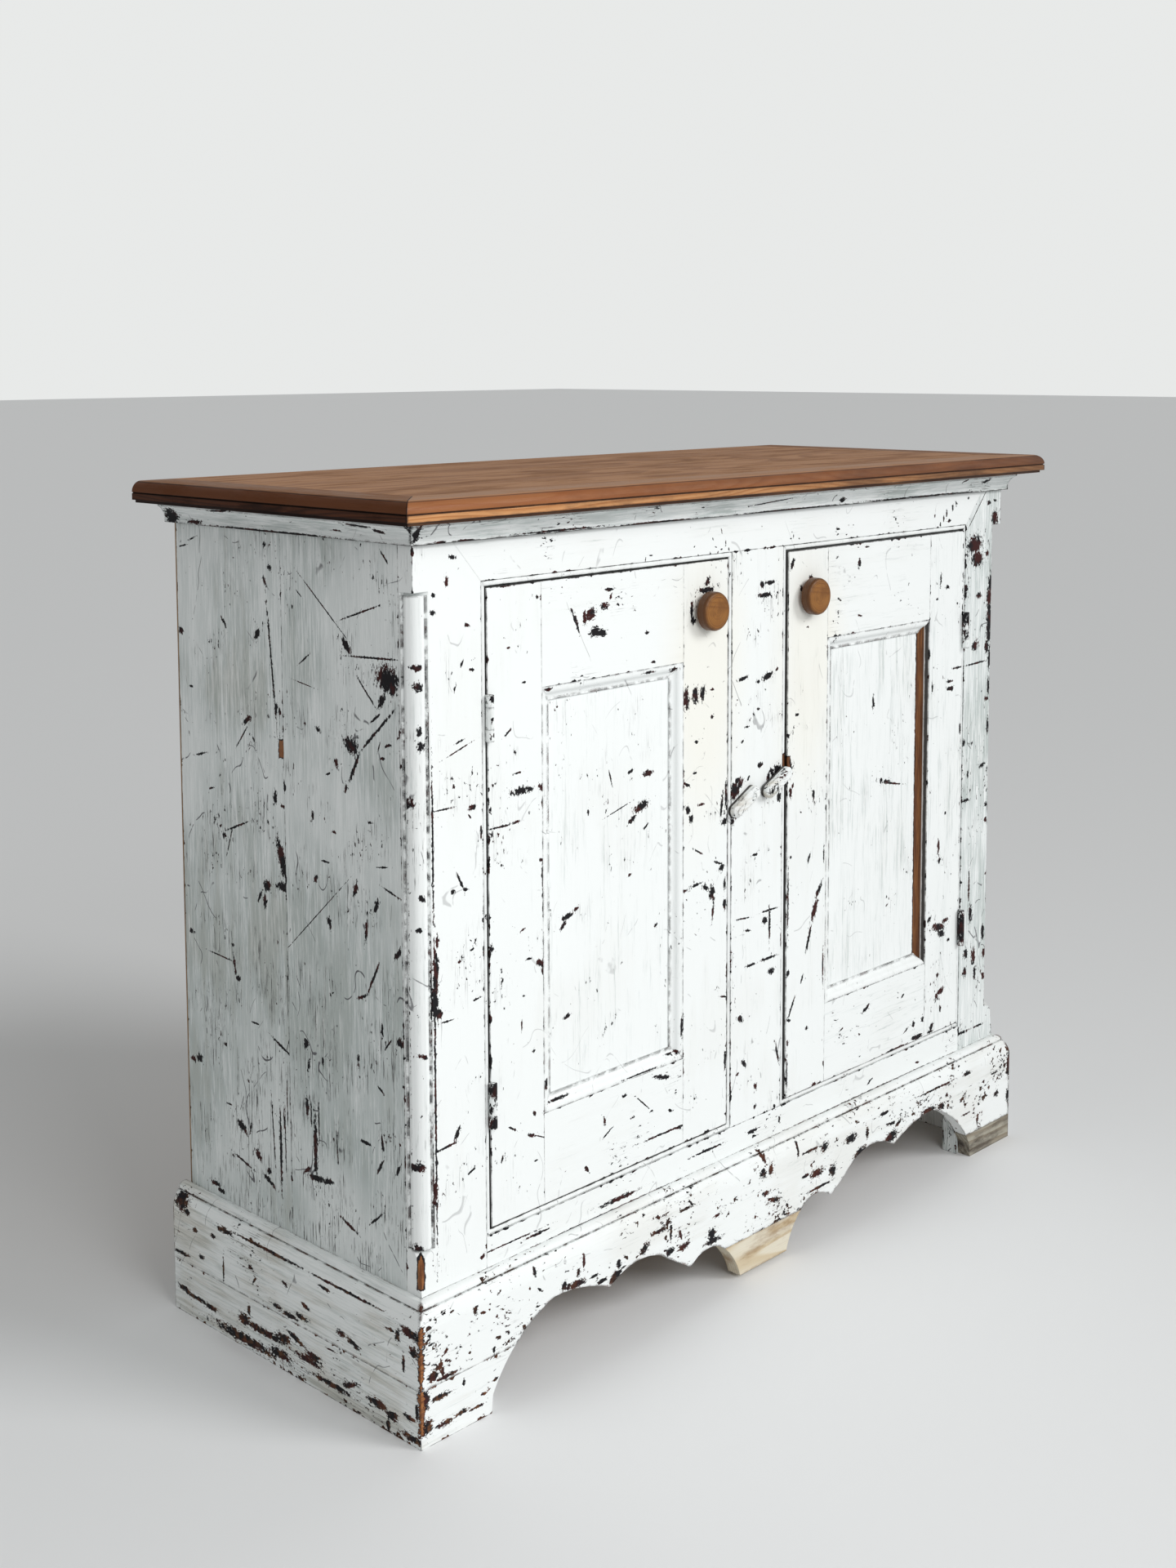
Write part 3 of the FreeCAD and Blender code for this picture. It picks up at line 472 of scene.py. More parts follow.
# Face frame: two outer stiles, a centre stile and two rails of pine, jointed together and
# painted with the rest. Knocks along the arrises show the undercoat and the wood.
painted("left_stile", seed=5, thin=0.1, chips=0.35, scratches=0.35, worn_edges=0.5,
        stripped=((-1, -1, 0.1425), (-0.4785, -0.1702, 0.1765)), stripped_rag=0.004, scars=[
    (-434, 821, 5, 2, -10), (-442, 799, 2.4, 5), (-459, 772, 3.5, 2.6), (-458, 788, 2.5, 2),
    (-417, 757, 3.5, 1.8, -20), (-424, 722, 3.5, 1.2, 60), (-411, 715, 3.5, 1.6, -10),
    (-433, 700, 3.5, 1.4, 70), (-413, 586, 4.5, 3), (-416, 578, 3.5, 1.2, -50), (-447, 590, 13, 0.9),
    (-430, 642, 20, 0.8, 18), (-428, 650, 6, 1.1, 15), (-428, 518, 10, 1.4, -62), (-422, 510, 4, 1.6, -10),
    (-438, 511, 3.4, 2.4), (-462, 560, 1.4, 76), (-461.5, 420, 1.6, 60), (-462, 300, 1.4, 130),
    (-402, 560, 1.6, 9), (-460, 440, 4, 22), (-462, 412, 5, 16), (-457, 400, 5, 5, 20), (-446, 390, 8, 1),
    (-431, 443, 2.6, 1.8), (-415, 451, 3, 1.2, 10), (-410, 402, 7, 1, 5), (-450, 270, 14, 1.6, 5),
    (-436, 278, 3, 7, -30), (-418, 237, 7, 1.4, 20), (-405, 148, 4, 2.4), (-458, 468, 2.4, 7),
    (-463, 230, 3, 14)])
painted("centre_stile", seed=6, thin=0.35, chips=0.4, scratches=0.5, cream=0.3, scars=[
    (-34, 536, 6, 8), (-28, 548, 5, 4), (-36, 505, 3.4, 4), (42, 552, 9, 3, -20), (24, 543, 2.4, 9, -15),
    (-20, 658, 9, 2.4, 10), (6, 652, 3.4, 2.4), (7, 622, 3, 1.6), (-12, 605, 4, 1.2),
    (-20, 590, 3, 1.5, 30), (12, 757, 4, 4), (25, 758, 9, 2.4), (16, 745, 12, 2.6), (22, 656, 10, 4, 15),
    (38, 662, 3, 2, 30), (10, 560, 5, 3, 20), (-32, 540, 8, 9, 20), (-24, 545, 7, 5, 30),
    (-30, 512, 9, 4, 15), (-10, 548, 4, 1.6, 50), (23, 532, 2, 12, -8), (31, 548, 3, 7, 30),
    (40, 549, 6, 8), (43, 519, 4, 5), (28, 380, 2, 22), (20, 385, 5, 4), (27, 395, 16, 1.2),
    (25, 341, 16, 1.8), (32, 325, 6, 4), (-22, 284, 4, 6, 40), (-15, 232, 3, 6, 40), (-26, 223, 3, 1.6, 20),
    (43, 228, 2, 12, 15), (2, 462, 6, 1.6), (-18, 395, 12, 1, -5), (-4, 340, 8, 1.6),
    (-10, 380, 6, 1.4, -10), (5, 200, 3, 4), (4, 178, 2.4, 3)])
# The right stile's heavy grey streaks are partly thin paint and partly painted shade, darker where the light
# falls off towards the right.
painted("right_stile", seed=7, thin=1.15, chips=0.75, scratches=0.9, worn_edges=0.9,
        stripped=((0.4655, -1, 0.179), (1, -0.1575, 0.7905)), stripped_rag=0.004, scars=[
    (432, 815, 40, 0.7, 48.6), (470, 800, 7, 11), (472, 790, 5, 5), (426, 770, 17, 12, 5),
    (432, 752, 13, 11), (437, 706, 6, 4), (459, 700, 5.5, 16), (460, 668, 6, 34), (462, 700, 2, 14),
    (456, 640, 5, 9, 10), (461, 720, 4, 12), (404, 677, 6, 4), (462, 625, 3.4, 16), (432, 622, 24, 1.4, 2),
    (430, 645, 8, 6, 30), (457, 575, 5, 3), (461, 590, 2.6, 12), (450, 491, 7, 3, 15), (461, 540, 3, 12),
    (456, 820, 4, 3), (470, 822, 5, 2, -10), (454, 757, 4, 4, 30), (404, 645, 3, 6), (412, 655, 5, 3, 30),
    (408, 525, 3, 5), (425, 340, 2, 22), (429, 305, 4, 12), (420, 255, 5, 7), (437, 248, 5, 12),
    (441, 225, 3, 10), (418, 232, 5, 7), (460, 440, 3, 4), (460, 420, 3.4, 4), (458, 275, 4, 10),
    (461, 248, 4, 7), (461, 218, 4, 5), (404, 296, 7, 21), (415, 452, 8, 2.4), (418, 485, 2.4, 5),
    (410, 155, 24, 2), (452, 155, 13, 1.6)])
painted("top_rail", grain="across", seed=8, thin=0.3, chips=0.22, scratches=0.3, scars=[
    (432, 815, 40, 0.7, 48.6), (-56, 820, 0.8, 3.6, 18), (-49, 807, 0.8, 3.2), (-70, 812, 0.9, 1.6, 30),
    (-65, 803, 2.2, 0.8, -15), (-74, 796, 1.4, 1.8), (-62, 797, 0.9, 2.2, -20), (-56, 800, 1.8, 1, 10),
    (-44, 799, 1, 2), (-99, 806, 1.6, 0.9, 30), (-93, 796, 0.9, 2.4, 25), (-87, 791, 0.9, 2.2),
    (-81, 790, 1.4, 1.6, 20), (-77, 793, 0.8, 2, -20), (-121, 796, 2, 0.9, 20), (-112, 792, 3, 0.7),
    (-174, 799, 0.8, 2.6, -12), (-166, 802, 2.6, 0.8), (61, 803, 1.6, 0.9), (66, 806, 0.9, 2.4, -15),
    (76, 802, 1.3, 1), (350, 800, 1.4, 3), (357, 806, 1.4, 4.5), (363, 812, 1.6, 6), (369, 803, 4, 2),
    (376, 818, 2, 4), (345, 796, 3, 1.4), (383, 823, 2, 3, 20), (146, 808, 4, 1.4), (410, 828, 2, 1.5),
    (338, 811, 1.2, 2.4)])
painted("bottom_rail", grain="across", seed=9, thin=0.15, chips=0.4, scratches=0.3, scars=[
    (-76, 152.5, 28, 1.5), (-215, 144, 30, 2.6), (0, 151, 11, 2.4), (48, 150, 2, 4), (220, 147, 7, 1.4, 30),
    (-368, 150, 44, 0.9), (-330, 146, 18, 1.4), (318, 143, 4, 1.6), (-230, 134.8, 120, 1),
    (220, 134.8, 190, 1)])

# painted shade in the gap round each door and on the inner walls of the door frames, from just
# behind the face to 6 mm in, as the low and high corners of a box. The right door stands 2 mm
# proud, and its gap with it.
DOOR_GAP = ((-1, -0.1738, 0), (1, -0.1680, 1))
PROUD_DOOR_GAP = ((-1, -0.1758, 0), (1, -0.1700, 1))
for side in ("left", "right"):
    painted(side + "_opening_beads", seed=10 + len(side), shaped=True, thin=0.25, chips=0.4,
            worn_edges=0.55, crevice=DOOR_GAP, stripped=((0.0, -1, 0.538), (0.056, 1, 0.566)),
            stripped_rag=0.006, bare_tone=0.6)

# Corner bead: a flattened round glued into the long chamfer of the left front corner. The
# right corner's bead has come off and left its chamfer bare.
painted("left_corner_bead", seed=12, scratches=0.8, shaped=True, thin=0.55, chips=0.45, worn_edges=0.5,
        scars=[
    (-476, 724, 5, 3.4), (-476, 706, 4, 5), (-475, 666, 2.4, 5), (-474, 652, 4, 5), (-484, 600, 5, 6),
    (-475, 512, 3, 4, 20), (-477, 482, 3, 3), (-475, 363, 5, 2.4, -20), (-479, 258, 5, 5),
    (-480, 180, 3, 4), (-465.5, 420, 1.2, 60), (-465.5, 230, 1.2, 60), (-465.5, 640, 1, 60),
    (-483, 420, 0.5, 240)])

# Crown: a small cove moulding of pine, fixed round the front and sides under the top,
# mitred at the front corners and painted with the carcass.
# On the crown front and left, the heavy grey streaks are partly thin paint and partly painted shade under
# the top. A dark line of painted shade, made by the crevice band and long thin scars near 836 mm, runs along
# the bottom edge where the crown meets the rail.
painted("crown_front", grain="across", seed=14, shaped=True, thin=1.1, chips=0.42, scratches=0.9,
        worn_edges=0.45, crevice=((-1, -1, 0), (1, 1, 0.8362)), scars=[
    (-484, 846, 4, 9), (-455, 836, 9, 1.4), (-424, 836, 12, 1), (-160, 836, 60, 1), (60, 836, 90, 0.9),
    (146, 841, 6, 3, 10), (434, 848, 8, 3, 10), (497, 839, 9, 2.6), (-300, 837, 60, 1.1),
    (300, 836.5, 120, 1), (20, 846, 40, 0.8, 4), (385, 851, 5, 1.6, 20)])
painted("crown_left", grain="back", seed=15, shaped=True, thin=0.9, crevice=((-1, -1, 0), (1, 1, 0.8358)),
        chips=0.42, worn_edges=0.5, face="side", scars=[
    (-184, 844, 4, 12), (190, 842, 12, 9), (-138, 846, 9, 1.8, 10), (-76, 843, 7, 1.2), (150, 838, 12, 2.4),
    (20, 836, 100, 1.1), (-110, 850, 20, 1.4, 3), (100, 852, 18, 1.2, -3)])
painted("crown_right", grain="back", seed=16, shaped=True, thin=0.6, chips=0.42, worn_edges=0.5)

# Plinth: a moulded board with a scalloped foot, made up with strips below, battered more
# than the rest and worn to bare wood at the corner.
painted("plinth_front_board", grain="across", seed=17, shaped=True, thin=0.3, chips=0.78, scratches=0.4,
        worn_edges=1.5, wood_shown=0.15, grime=0.12, stripped=((-1, -1, 0.02), (-0.4958, 1, 0.118)),
        stripped_rag=0.016, scars=[
    (-351, 119, 2.6, 5), (-345, 99, 5, 1.4, -40), (-430, 110, 3.4, 4), (-421, 104, 4, 1.6, -20),
    (-407, 62, 2, 4), (-468, 60, 16, 2.4), (-484, 66, 7, 6), (-472, 66, 2, 6), (-312, 91, 4, 6),
    (-296, 87, 15, 4.4, -5), (-284, 107, 2, 9), (-292, 98, 2.6, 5), (-270, 86, 6, 2), (-258, 77, 8, 2.4),
    (-238, 75, 12, 5, 28), (-233, 86, 4, 5), (-222, 89, 4, 1.6, -40), (-195, 89, 8, 5, 35),
    (-173, 100, 13, 2.4), (-154, 94, 2.4, 10), (-155, 72, 7, 4), (-133, 70, 10, 4, 10),
    (-139, 85, 2.4, 7, 20), (-88, 66, 7, 9), (-86, 60, 16, 3), (-130, 110, 10, 1.8), (-80, 86, 6, 2),
    (-1, 108, 6, 7), (2, 124, 2.6, 9, 20), (12, 108, 4.4, 6), (3, 84, 7, 3), (18, 72, 13, 3, -15),
    (61, 117, 2.2, 11), (86, 108, 18, 2), (110, 104, 7, 6, 20), (95, 78, 14, 5), (75, 81, 7, 2.4),
    (125, 72, 7, 8), (160, 99, 12, 6), (100, 60, 24, 1.8), (178, 76, 14, 7, 20), (225, 110, 10, 2.4),
    (335, 110, 40, 1.6), (402, 110, 8, 3), (242, 93, 7, 2), (255, 90, 7, 3, 30), (285, 92, 4, 2),
    (192, 96, 3, 8), (240, 77, 14, 7, 10), (318, 87, 18, 4), (345, 84, 8, 5), (357, 95, 3, 3),
    (392, 80, 7, 3, 30), (442, 69, 7, 2), (470, 65, 6, 5), (427, 44, 3, 8), (400, 58, 9, 1.5),
    (498, 95, 5, 17), (497, 55, 4, 10)])
painted("plinth_left_board", grain="back", seed=18, shaped=True, thin=0.8, chips=0.5, worn_edges=0.8,
        wood_shown=0.25, grime=0.35, stripped=((-1, -1, 0.02), (1, -0.1895, 0.118)), stripped_rag=0.016,
        scratches=0.7, face="side", scars=[
    (-178, 108, 14, 5, 5), (-160, 100, 4, 7), (-182, 92, 6, 6), (-168, 76, 2.4, 9), (-95, 68, 12, 3.4, 15),
    (-76, 72, 7, 4), (-22, 79, 8, 3, 10), (-15, 66, 10, 3), (6, 61, 16, 3), (25, 63, 9, 3),
    (62, 77, 6, 1.6, -55), (68, 89, 5, 2.4, 20), (12, 91, 5, 2.4, 20), (115, 72, 1.6, 14),
    (132, 101, 5, 3, -10), (154, 71, 5, 2.6), (165, 97, 5, 3, -10), (112, 113, 14, 3), (40, 116, 60, 1.8),
    (-80, 116, 60, 1.4), (-150, 102, 8, 2), (-52, 108, 10, 2), (190, 120, 12, 10), (188, 64, 16, 2.4),
    (178, 112, 5, 4)])
painted("plinth_right_board", grain="back", seed=19, shaped=True, thin=0.4, chips=0.6, worn_edges=0.8,
        wood_shown=0.3)
painted("plinth_left_lower_strip", grain="back", seed=20, thin=0.8, chips=0.6, worn_edges=0.9,
        wood_shown=0.3, grime=0.35, stripped=((-1, -1, 0.012), (1, -0.1895, 1)), stripped_rag=0.016,
        scratches=0.7, face="side", scars=[
    (-26, 25, 22, 3.4, 3), (-32, 31, 14, 5), (15, 33, 13, 6), (46, 28, 38, 4.4), (80, 30, 11, 7),
    (72, 42, 3, 6), (20, 15, 20, 6), (80, 9, 60, 6), (140, 22, 14, 3.4), (165, 23, 22, 2.6),
    (187, 26, 12, 3.4), (-90, 25, 13, 3, -25), (-130, 22, 16, 5), (-150, 18, 10, 5), (-175, 26, 9, 3),
    (-186, 36, 2.4, 10), (-60, 14, 32, 3.4), (-145, 6, 3, 8), (-180, 7, 18, 4), (-60, 49, 8, 1.2),
    (-5, 40, 16, 3, 15)])
painted("plinth_right_lower_strip", grain="back", seed=21, thin=0.4, chips=0.75, worn_edges=1.0,
        wood_shown=0.35)
painted("front_left_foot_strip", grain="across", seed=22, thin=0.5, chips=0.6, worn_edges=1.0,
        wood_shown=0.4, grime=0.3, stripped=((-1, -1, 0.012), (-0.4945, 1, 1)), stripped_rag=0.016, scars=[
    (-476, 43, 15, 3), (-494, 46, 6, 10), (-446, 45, 2, 4), (-492, 20, 8, 8), (-470, 15, 12, 3),
    (-448, 17, 10, 2.6), (-430, 14, 10, 1.6), (-400, 18, 6, 2), (-420, 24, 4, 2), (-405, 32, 4, 2)])

# Foot blocks: bare wood put in where the plinth broke away. The middle one is a drooping
# point of pale pine, and the one at the right front corner has gone grey.
wood, given, result = new_group(
    "wood figure",
    [("Grain place", "Vector", None), ("Pith", "Vector", None), ("Ring spacing", "Float", 0.006)],
    [("Rings", "Float"), ("Fibres", "Float"), ("Height", "Float")])
from_pith = vectors(wood, "SUBTRACT", given["Grain place"], given["Pith"])
wander = speckle(wood, from_pith, (9, 9, 1.3), 2, 0.5)
x, y = parts(wood, from_pith)[:2]
radius = reckon(wood, "SQRT", plus(wood, times(wood, x, x), times(wood, y, y)))
radius = plus(wood, radius, times(wood, wander, 0.10))
ring = reckon(wood, "FRACT", reckon(wood, "DIVIDE", radius, given["Ring spacing"]))
late = times(wood, ramp(wood, ring, 0.30, 0.90), ramp(wood, ring, 0.90, 1.0, 1.0, 0.0))
fibres = speckle(wood, given["Grain place"], (900, 900, 12), 4, 0.65)
wood.links.new(late, result["Rings"])
wood.links.new(fibres, result["Fibres"])
wood.links.new(plus(wood, times(wood, late, 0.10), times(wood, fibres, 0.25)), result["Height"])


def wooden(node, light, dark, stain, grain="across", seed=0.0, pith=(0.02, 0.09, 0.0), rings=0.006,
           dirt=0.5, shine=0.55, worn=0.5, shaped=False, nosing=None, table=None, gloss=0.3):
    material, tree, place = start_material(node)
    along = add(tree, "Mapping", put={"Vector": place, "Rotation": GRAIN_TURN[grain],
                                      "Location": (seed * 0.031, seed * 0.017, seed * 0.43)})
    figure = place_group(tree, wood, {"Grain place": along, "Pith": pith, "Ring spacing": rings})
    colour = mix(tree, figure["Rings"], light, dark)
    fibre = ramp(tree, figure["Fibres"], 0.50, 0.72, 0.0, 0.55)
    colour = mix(tree, fibre, colour, dark)
    patches = speckle(tree, along, (30, 30, 8), 6, 0.7)
    blotch = times(tree, ramp(tree, patches, 0.46, 0.68), dirt)
    colour = mix(tree, blotch, colour, stain)
    if shaped:
        same = flatness(tree, 0.004)
        edge = ramp(tree, same, 0.84, 0.99, 1.0, 0.0)
        colour = mix(tree, ramp(tree, same, 0.72, 0.80, 0.75, 0.0), colour, stain)
    else:
        low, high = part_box(node)
        distance = in_box(tree, arris, place, low, high)
        edge = ramp(tree, distance, 0.0002, 0.0030, 1.0, 0.0)
    knocks = speckle(tree, place, (70, 70, 70), 4, 0.6)
    knocked = times(tree, edge, ramp(tree, knocks, 0.40, 0.58, 0.15, worn))
    colour = mix(tree, knocked, colour, stain)
    if nosing:
        marks = place_group(tree, edging, {"Place": place})
        colour = mix(tree, marks["Nosing"], colour, nosing)
        colour = mix(tree, marks["Darkened"], colour, stain)
        worn_top = mix(tree, times(tree, figure["Rings"], 0.3), table, dark)
        colour = mix(tree, marks["Flat"], colour, worn_top)
        colour = mix(tree, marks["Lines"], colour, stain)
    shine = ramp(tree, plus(tree, figure["Fibres"], blotch), 0.3, 1.1, shine, shine + 0.25)
    finish_material(tree, colour, shine, figure["Height"], gloss=gloss)
    dress(node, material)


wooden("centre_drop_block", light=(0.72, 0.67, 0.55, 1), dark=(0.62, 0.52, 0.36, 1),
        stain=(0.30, 0.18, 0.08, 1), seed=1, rings=0.005, dirt=0.75)
wooden("front_right_foot_block", light=(0.38, 0.355, 0.29, 1), dark=(0.25, 0.21, 0.155, 1),
        stain=(0.06, 0.048, 0.04, 1), seed=2, rings=0.005, dirt=1.0)

# Top: two wide pine boards inside a mitred moulded edging, once stained dark, now rubbed
# to a dull brown on the flat and to orange wood along the nosing.
for node, seed in (("top_front_board", 3), ("top_back_board", 4)):
    wooden(node, light=(0.445, 0.222, 0.105, 1), dark=(0.31, 0.140, 0.060, 1),
            stain=(0.20, 0.094, 0.042, 1), seed=seed, pith=(0.12, 0.03, 0.0), rings=0.009, dirt=0.7,
            shine=0.5, worn=0.4)

# dark nosing, painted shade as dark lines in the groove and under the lip, and dark joint lines
# along the corner mitres and the top arris. A look fades between a pair of heights. Along a
# mitre, y and the distance from the middle of the front add up to mitre_sum.
lip_heights = (0.8590, 0.8598)
groove_height = 0.8661
nosing_heights = (0.8660, 0.8674)
arris_height = 0.8769
flat_heights = (0.8770, 0.8776)
mitre_sum = 0.3080
edging, given, result = new_group(
    "edging marks", [("Place", "Vector", None)],
    [("Nosing", "Float"), ("Darkened", "Float"), ("Flat", "Float"), ("Lines", "Float")])
x, y, z = parts(edging, given["Place"])
smear = speckle(edging, given["Place"], (9, 9, 60), 3, 0.6)
uneven = times(edging, minus(edging, smear, 0.5), 1.1)
higher = ramp(edging, z, *nosing_heights, 0.0, 0.8)
edging.links.new(higher, result["Nosing"])
further = plus(edging, ramp(edging, x, -0.40, 0.40, 0.0, 0.62), uneven, clamp=True)
edging.links.new(further, result["Darkened"])
edging.links.new(ramp(edging, z, *flat_heights), result["Flat"])
groove = reckon(edging, "ABSOLUTE", minus(edging, z, groove_height))
arris_line = reckon(edging, "ABSOLUTE", minus(edging, z, arris_height))
inward = minus(edging, mitre_sum, plus(edging, reckon(edging, "ABSOLUTE", x), y))
mitre = reckon(edging, "ABSOLUTE", inward)
nearest_line = reckon(edging, "MINIMUM", groove, mitre)
lines = reckon(edging, "MAXIMUM", ramp(edging, nearest_line, 0.0004, 0.0011, 1.0, 0.0),
               ramp(edging, z, *lip_heights, 1.0, 0.0))
lines = reckon(edging, "MAXIMUM", lines, ramp(edging, arris_line, 0.0002, 0.0005, 0.75, 0.0))
edging.links.new(times(edging, lines, ramp(edging, smear, 0.25, 0.55, 0.45, 0.95)), result["Lines"])
wooden("top_edging_front", light=(0.60, 0.295, 0.120, 1), dark=(0.44, 0.180, 0.058, 1),
        stain=(0.060, 0.024, 0.012, 1), seed=5, pith=(0.3, 0.25, 0.0), rings=0.0035, dirt=0.5, shine=0.34,
        worn=0.7, shaped=True, nosing=(0.230, 0.066, 0.015, 1), table=(0.40, 0.198, 0.094, 1))
for node, seed in (("top_edging_left", 6), ("top_edging_right", 7)):
    wooden(node, light=(0.078, 0.023, 0.008, 1), dark=(0.040, 0.012, 0.005, 1),
            stain=(0.014, 0.006, 0.004, 1), grain="back", seed=seed, pith=(0.3, 0.25, 0.0), rings=0.0035,
            dirt=0.8, shine=0.36, worn=0.6, shaped=True, nosing=(0.135, 0.044, 0.015, 1),
            table=(0.27, 0.128, 0.062, 1), gloss=0.1)

# Inside and back: plain boards, bearers, cleats and stops of unpainted pine, browned with
# age and fixed between and behind the sides.
INSIDE = {"bottom_board": "across", "shelf": "across", "bottom_bearers": "back", "shelf_bearers": "back",
          "top_cleats": "back", "door_stops": "across", "back_board_1": "up", "back_board_2": "up",
          "back_board_3": "up", "back_board_4": "up"}
for seed, (node, grain) in enumerate(INSIDE.items()):
    wooden(node, light=(0.42, 0.27, 0.15, 1), dark=(0.30, 0.175, 0.085, 1), stain=(0.13, 0.09, 0.06, 1),
            grain=grain, seed=10 + seed, rings=0.007, dirt=0.5, shine=0.65, worn=0.25)

# Doors: each a frame of four members round a thin upright panel, with ogee mouldings planted
# on around it. The right one has lost its outer moulding, so bare wood shows in the corner.
painted("left_door_hinge_stile", crevice=DOOR_GAP, seed=30, thin=0.2, chips=0.42, scratches=0.3, scars=[
    (-327, 775, 2.4, 1.6), (-365, 730, 2.4, 1.2), (-345, 695, 3, 1.2), (-366, 650, 6, 1.5, 35),
    (-350, 591, 13, 4), (-338, 591, 6, 2.6), (-323, 591, 4.4, 3.6), (-355, 609, 6, 1, 5),
    (-378, 561, 15, 1.2), (-358, 562, 6, 1.4, 5), (-323, 519, 4.4, 2), (-322, 503, 1.4, 18),
    (-325, 417, 8, 3, -30), (-322, 412, 2, 10), (-341, 425, 4, 1.4), (-350, 455, 5, 1.2, 20),
    (-390, 446, 2.4, 4, 30), (-348, 390, 2, 1.4), (-335, 332, 2.4, 1.8), (-364, 262, 7, 1.2, -32),
    (-338, 248, 6, 2, -20), (-326, 243, 10, 0.8, -25), (-334, 269, 2, 3, 30), (-378, 236, 2, 4, -20),
    (-333, 221, 3, 1.2), (-351, 362, 1.2, 6), (-393, 665, 2, 20)])
painted("left_door_top_rail", crevice=DOOR_GAP, grain="across", seed=31, cream=0.4, thin=0.15, chips=0.35,
        scratches=0.4, scars=[
    (-280, 757, 4, 1.4, -60), (-277, 750, 7, 1.4, -70), (-273, 744, 10, 1.8, -75), (-271, 737, 5, 1.2, -70),
    (-262, 748, 3, 7), (-254, 751, 8, 6, 20), (-247, 733, 9, 5), (-238, 731, 7, 4, -10),
    (-234, 757, 6, 4, 15), (-227, 773, 7, 2), (-225, 766, 5, 1.4, 60), (-172, 724, 3.4, 1.6),
    (-162, 693, 3.4, 1.6)])
painted("left_door_lock_stile", crevice=DOOR_GAP, seed=32, thin=0.25, chips=0.45, scratches=0.3, cream=0.33,
        scars=[
    (-111.5, 648, 5.6, 12), (-97, 650, 6, 9), (-86, 651, 4, 8), (-70, 653, 3.4, 1.6), (-80, 759, 12, 4),
    (-103, 738, 2.6, 12), (-100, 728, 4, 3.4), (-78, 768, 6, 3, 60), (-70, 624, 2.4, 2.6), (-96, 601, 3, 2),
    (-120, 585, 2.6, 7), (-118, 566, 5, 1.6, -60), (-111, 558, 7, 1.8, -25), (-98, 568, 4, 1.4),
    (-109, 531, 3.4, 5, 20), (-104, 520, 3.4, 5, -20), (-119, 520, 1.8, 8), (-88, 533, 5, 1.8),
    (-54, 527, 2.2, 15, -8), (-47, 538, 2.4, 14), (-50, 508, 5, 4, 20), (-70, 435, 5, 9),
    (-68, 415, 2, 12, -8), (-80, 442, 7, 3, -30), (-95, 448, 10, 2, 5), (-113, 445, 5, 1.6),
    (-49, 440, 2.4, 7), (-49, 418, 2.6, 7), (-54, 458, 5, 4, 30), (-60, 465, 8, 1.4, -20),
    (-92, 483, 10, 1, -30), (-50, 316, 8, 1.2, -15), (-47, 245, 2, 12)])
painted("left_door_bottom_rail", crevice=DOOR_GAP, grain="across", seed=33, thin=0.2, chips=0.4,
        scratches=0.3, scars=[
    (-206, 250, 4, 2), (-165, 222, 3, 1.2), (-178, 234, 14, 0.9, -42), (-136, 214, 4, 1.8, -15),
    (-140, 192.5, 40, 1.3), (-236, 232, 2, 5, 10), (-122, 192, 6, 2.4), (-232, 218, 8, 1, 30),
    (-150, 254, 16, 2.4, -15), (-262, 190, 2, 5, 30)])
painted("left_door_panel", seed=34, thin=0.45, chips=0.3, scratches=0.3, scars=[
    (-188, 583, 5, 2, 20), (-163, 577, 8, 3.4), (-172, 544, 13, 5, 15), (-186, 533, 7, 3, 30),
    (-165, 522, 5, 1.4, 40), (-205, 547, 18, 0.7, 15), (-280, 452, 10, 3, 10), (-286, 444, 6, 2.4, 50),
    (-268, 457, 4, 2, 20), (-281, 351, 6, 2.4, 12), (-190, 476, 2.4, 1.6), (-150, 415, 3, 2, 40),
    (-218, 582, 1.2, 9, 15), (-250, 552, 2, 3)])
painted("left_door_panel_mouldings", seed=35, shaped=True, thin=0.35, chips=0.35, worn_edges=0.3, scars=[
    (-130, 681, 6, 3), (-168, 683, 9, 1.6), (-312, 684, 5, 2), (-134, 276, 6, 4), (-124, 274, 5, 2.4, -20),
    (-118, 300, 2, 12), (-131, 465, 1.8, 14), (-131, 370, 1.4, 30), (-128, 300, 2, 10), (-180, 267, 30, 1),
    (-317, 294, 4, 6), (-300, 273, 16, 1.2)])
# On the right door the grey streaks are heavier than on the left, most on the hinge stile and panel: partly
# thin paint and partly painted shade, darker towards the right.
painted("right_door_lock_stile", crevice=PROUD_DOOR_GAP, seed=36, thin=0.3, chips=0.4, scratches=0.3,
        cream=0.3, stripped=((-1, -1, 0.546), (0.0596, 1, 0.562)), stripped_rag=0.006, bare_tone=0.6,
        scars=[
    (95, 756, 4, 5, 30), (78, 747, 2.4, 4), (72, 607, 3.4, 2), (90, 703, 2.6, 1.4), (103, 512, 2.4, 7),
    (60, 546, 5, 10, -20), (61, 521, 3, 7), (65, 528, 2, 4, -20), (62, 775, 3, 7, -20),
    (106, 378, 4.4, 14, -22), (96, 348, 2.2, 18, -18), (114, 400, 3, 12, -35), (66, 276, 1.6, 14, -28),
    (59, 316, 3, 4), (60, 262, 4, 2, -20), (59, 236, 2.4, 4), (94, 244, 3, 2.6), (62, 448, 2.4, 1.8),
    (95, 440, 2, 6, -20), (84, 303, 1.6, 6, -20), (58, 400, 1.4, 40), (108, 174, 5, 3), (118, 173, 5, 2),
    (123, 310, 1.4, 20), (123, 440, 1.4, 10), (58, 200, 1.4, 24)])
painted("right_door_top_rail", crevice=PROUD_DOOR_GAP, grain="across", seed=37, cream=0.4, thin=0.4,
        chips=0.34, scratches=0.35, scars=[
    (185, 766, 3.4, 6, -10), (200, 784, 5, 1.2), (187, 706, 4, 1.2, -15), (148, 728, 4, 1.2, -30)])
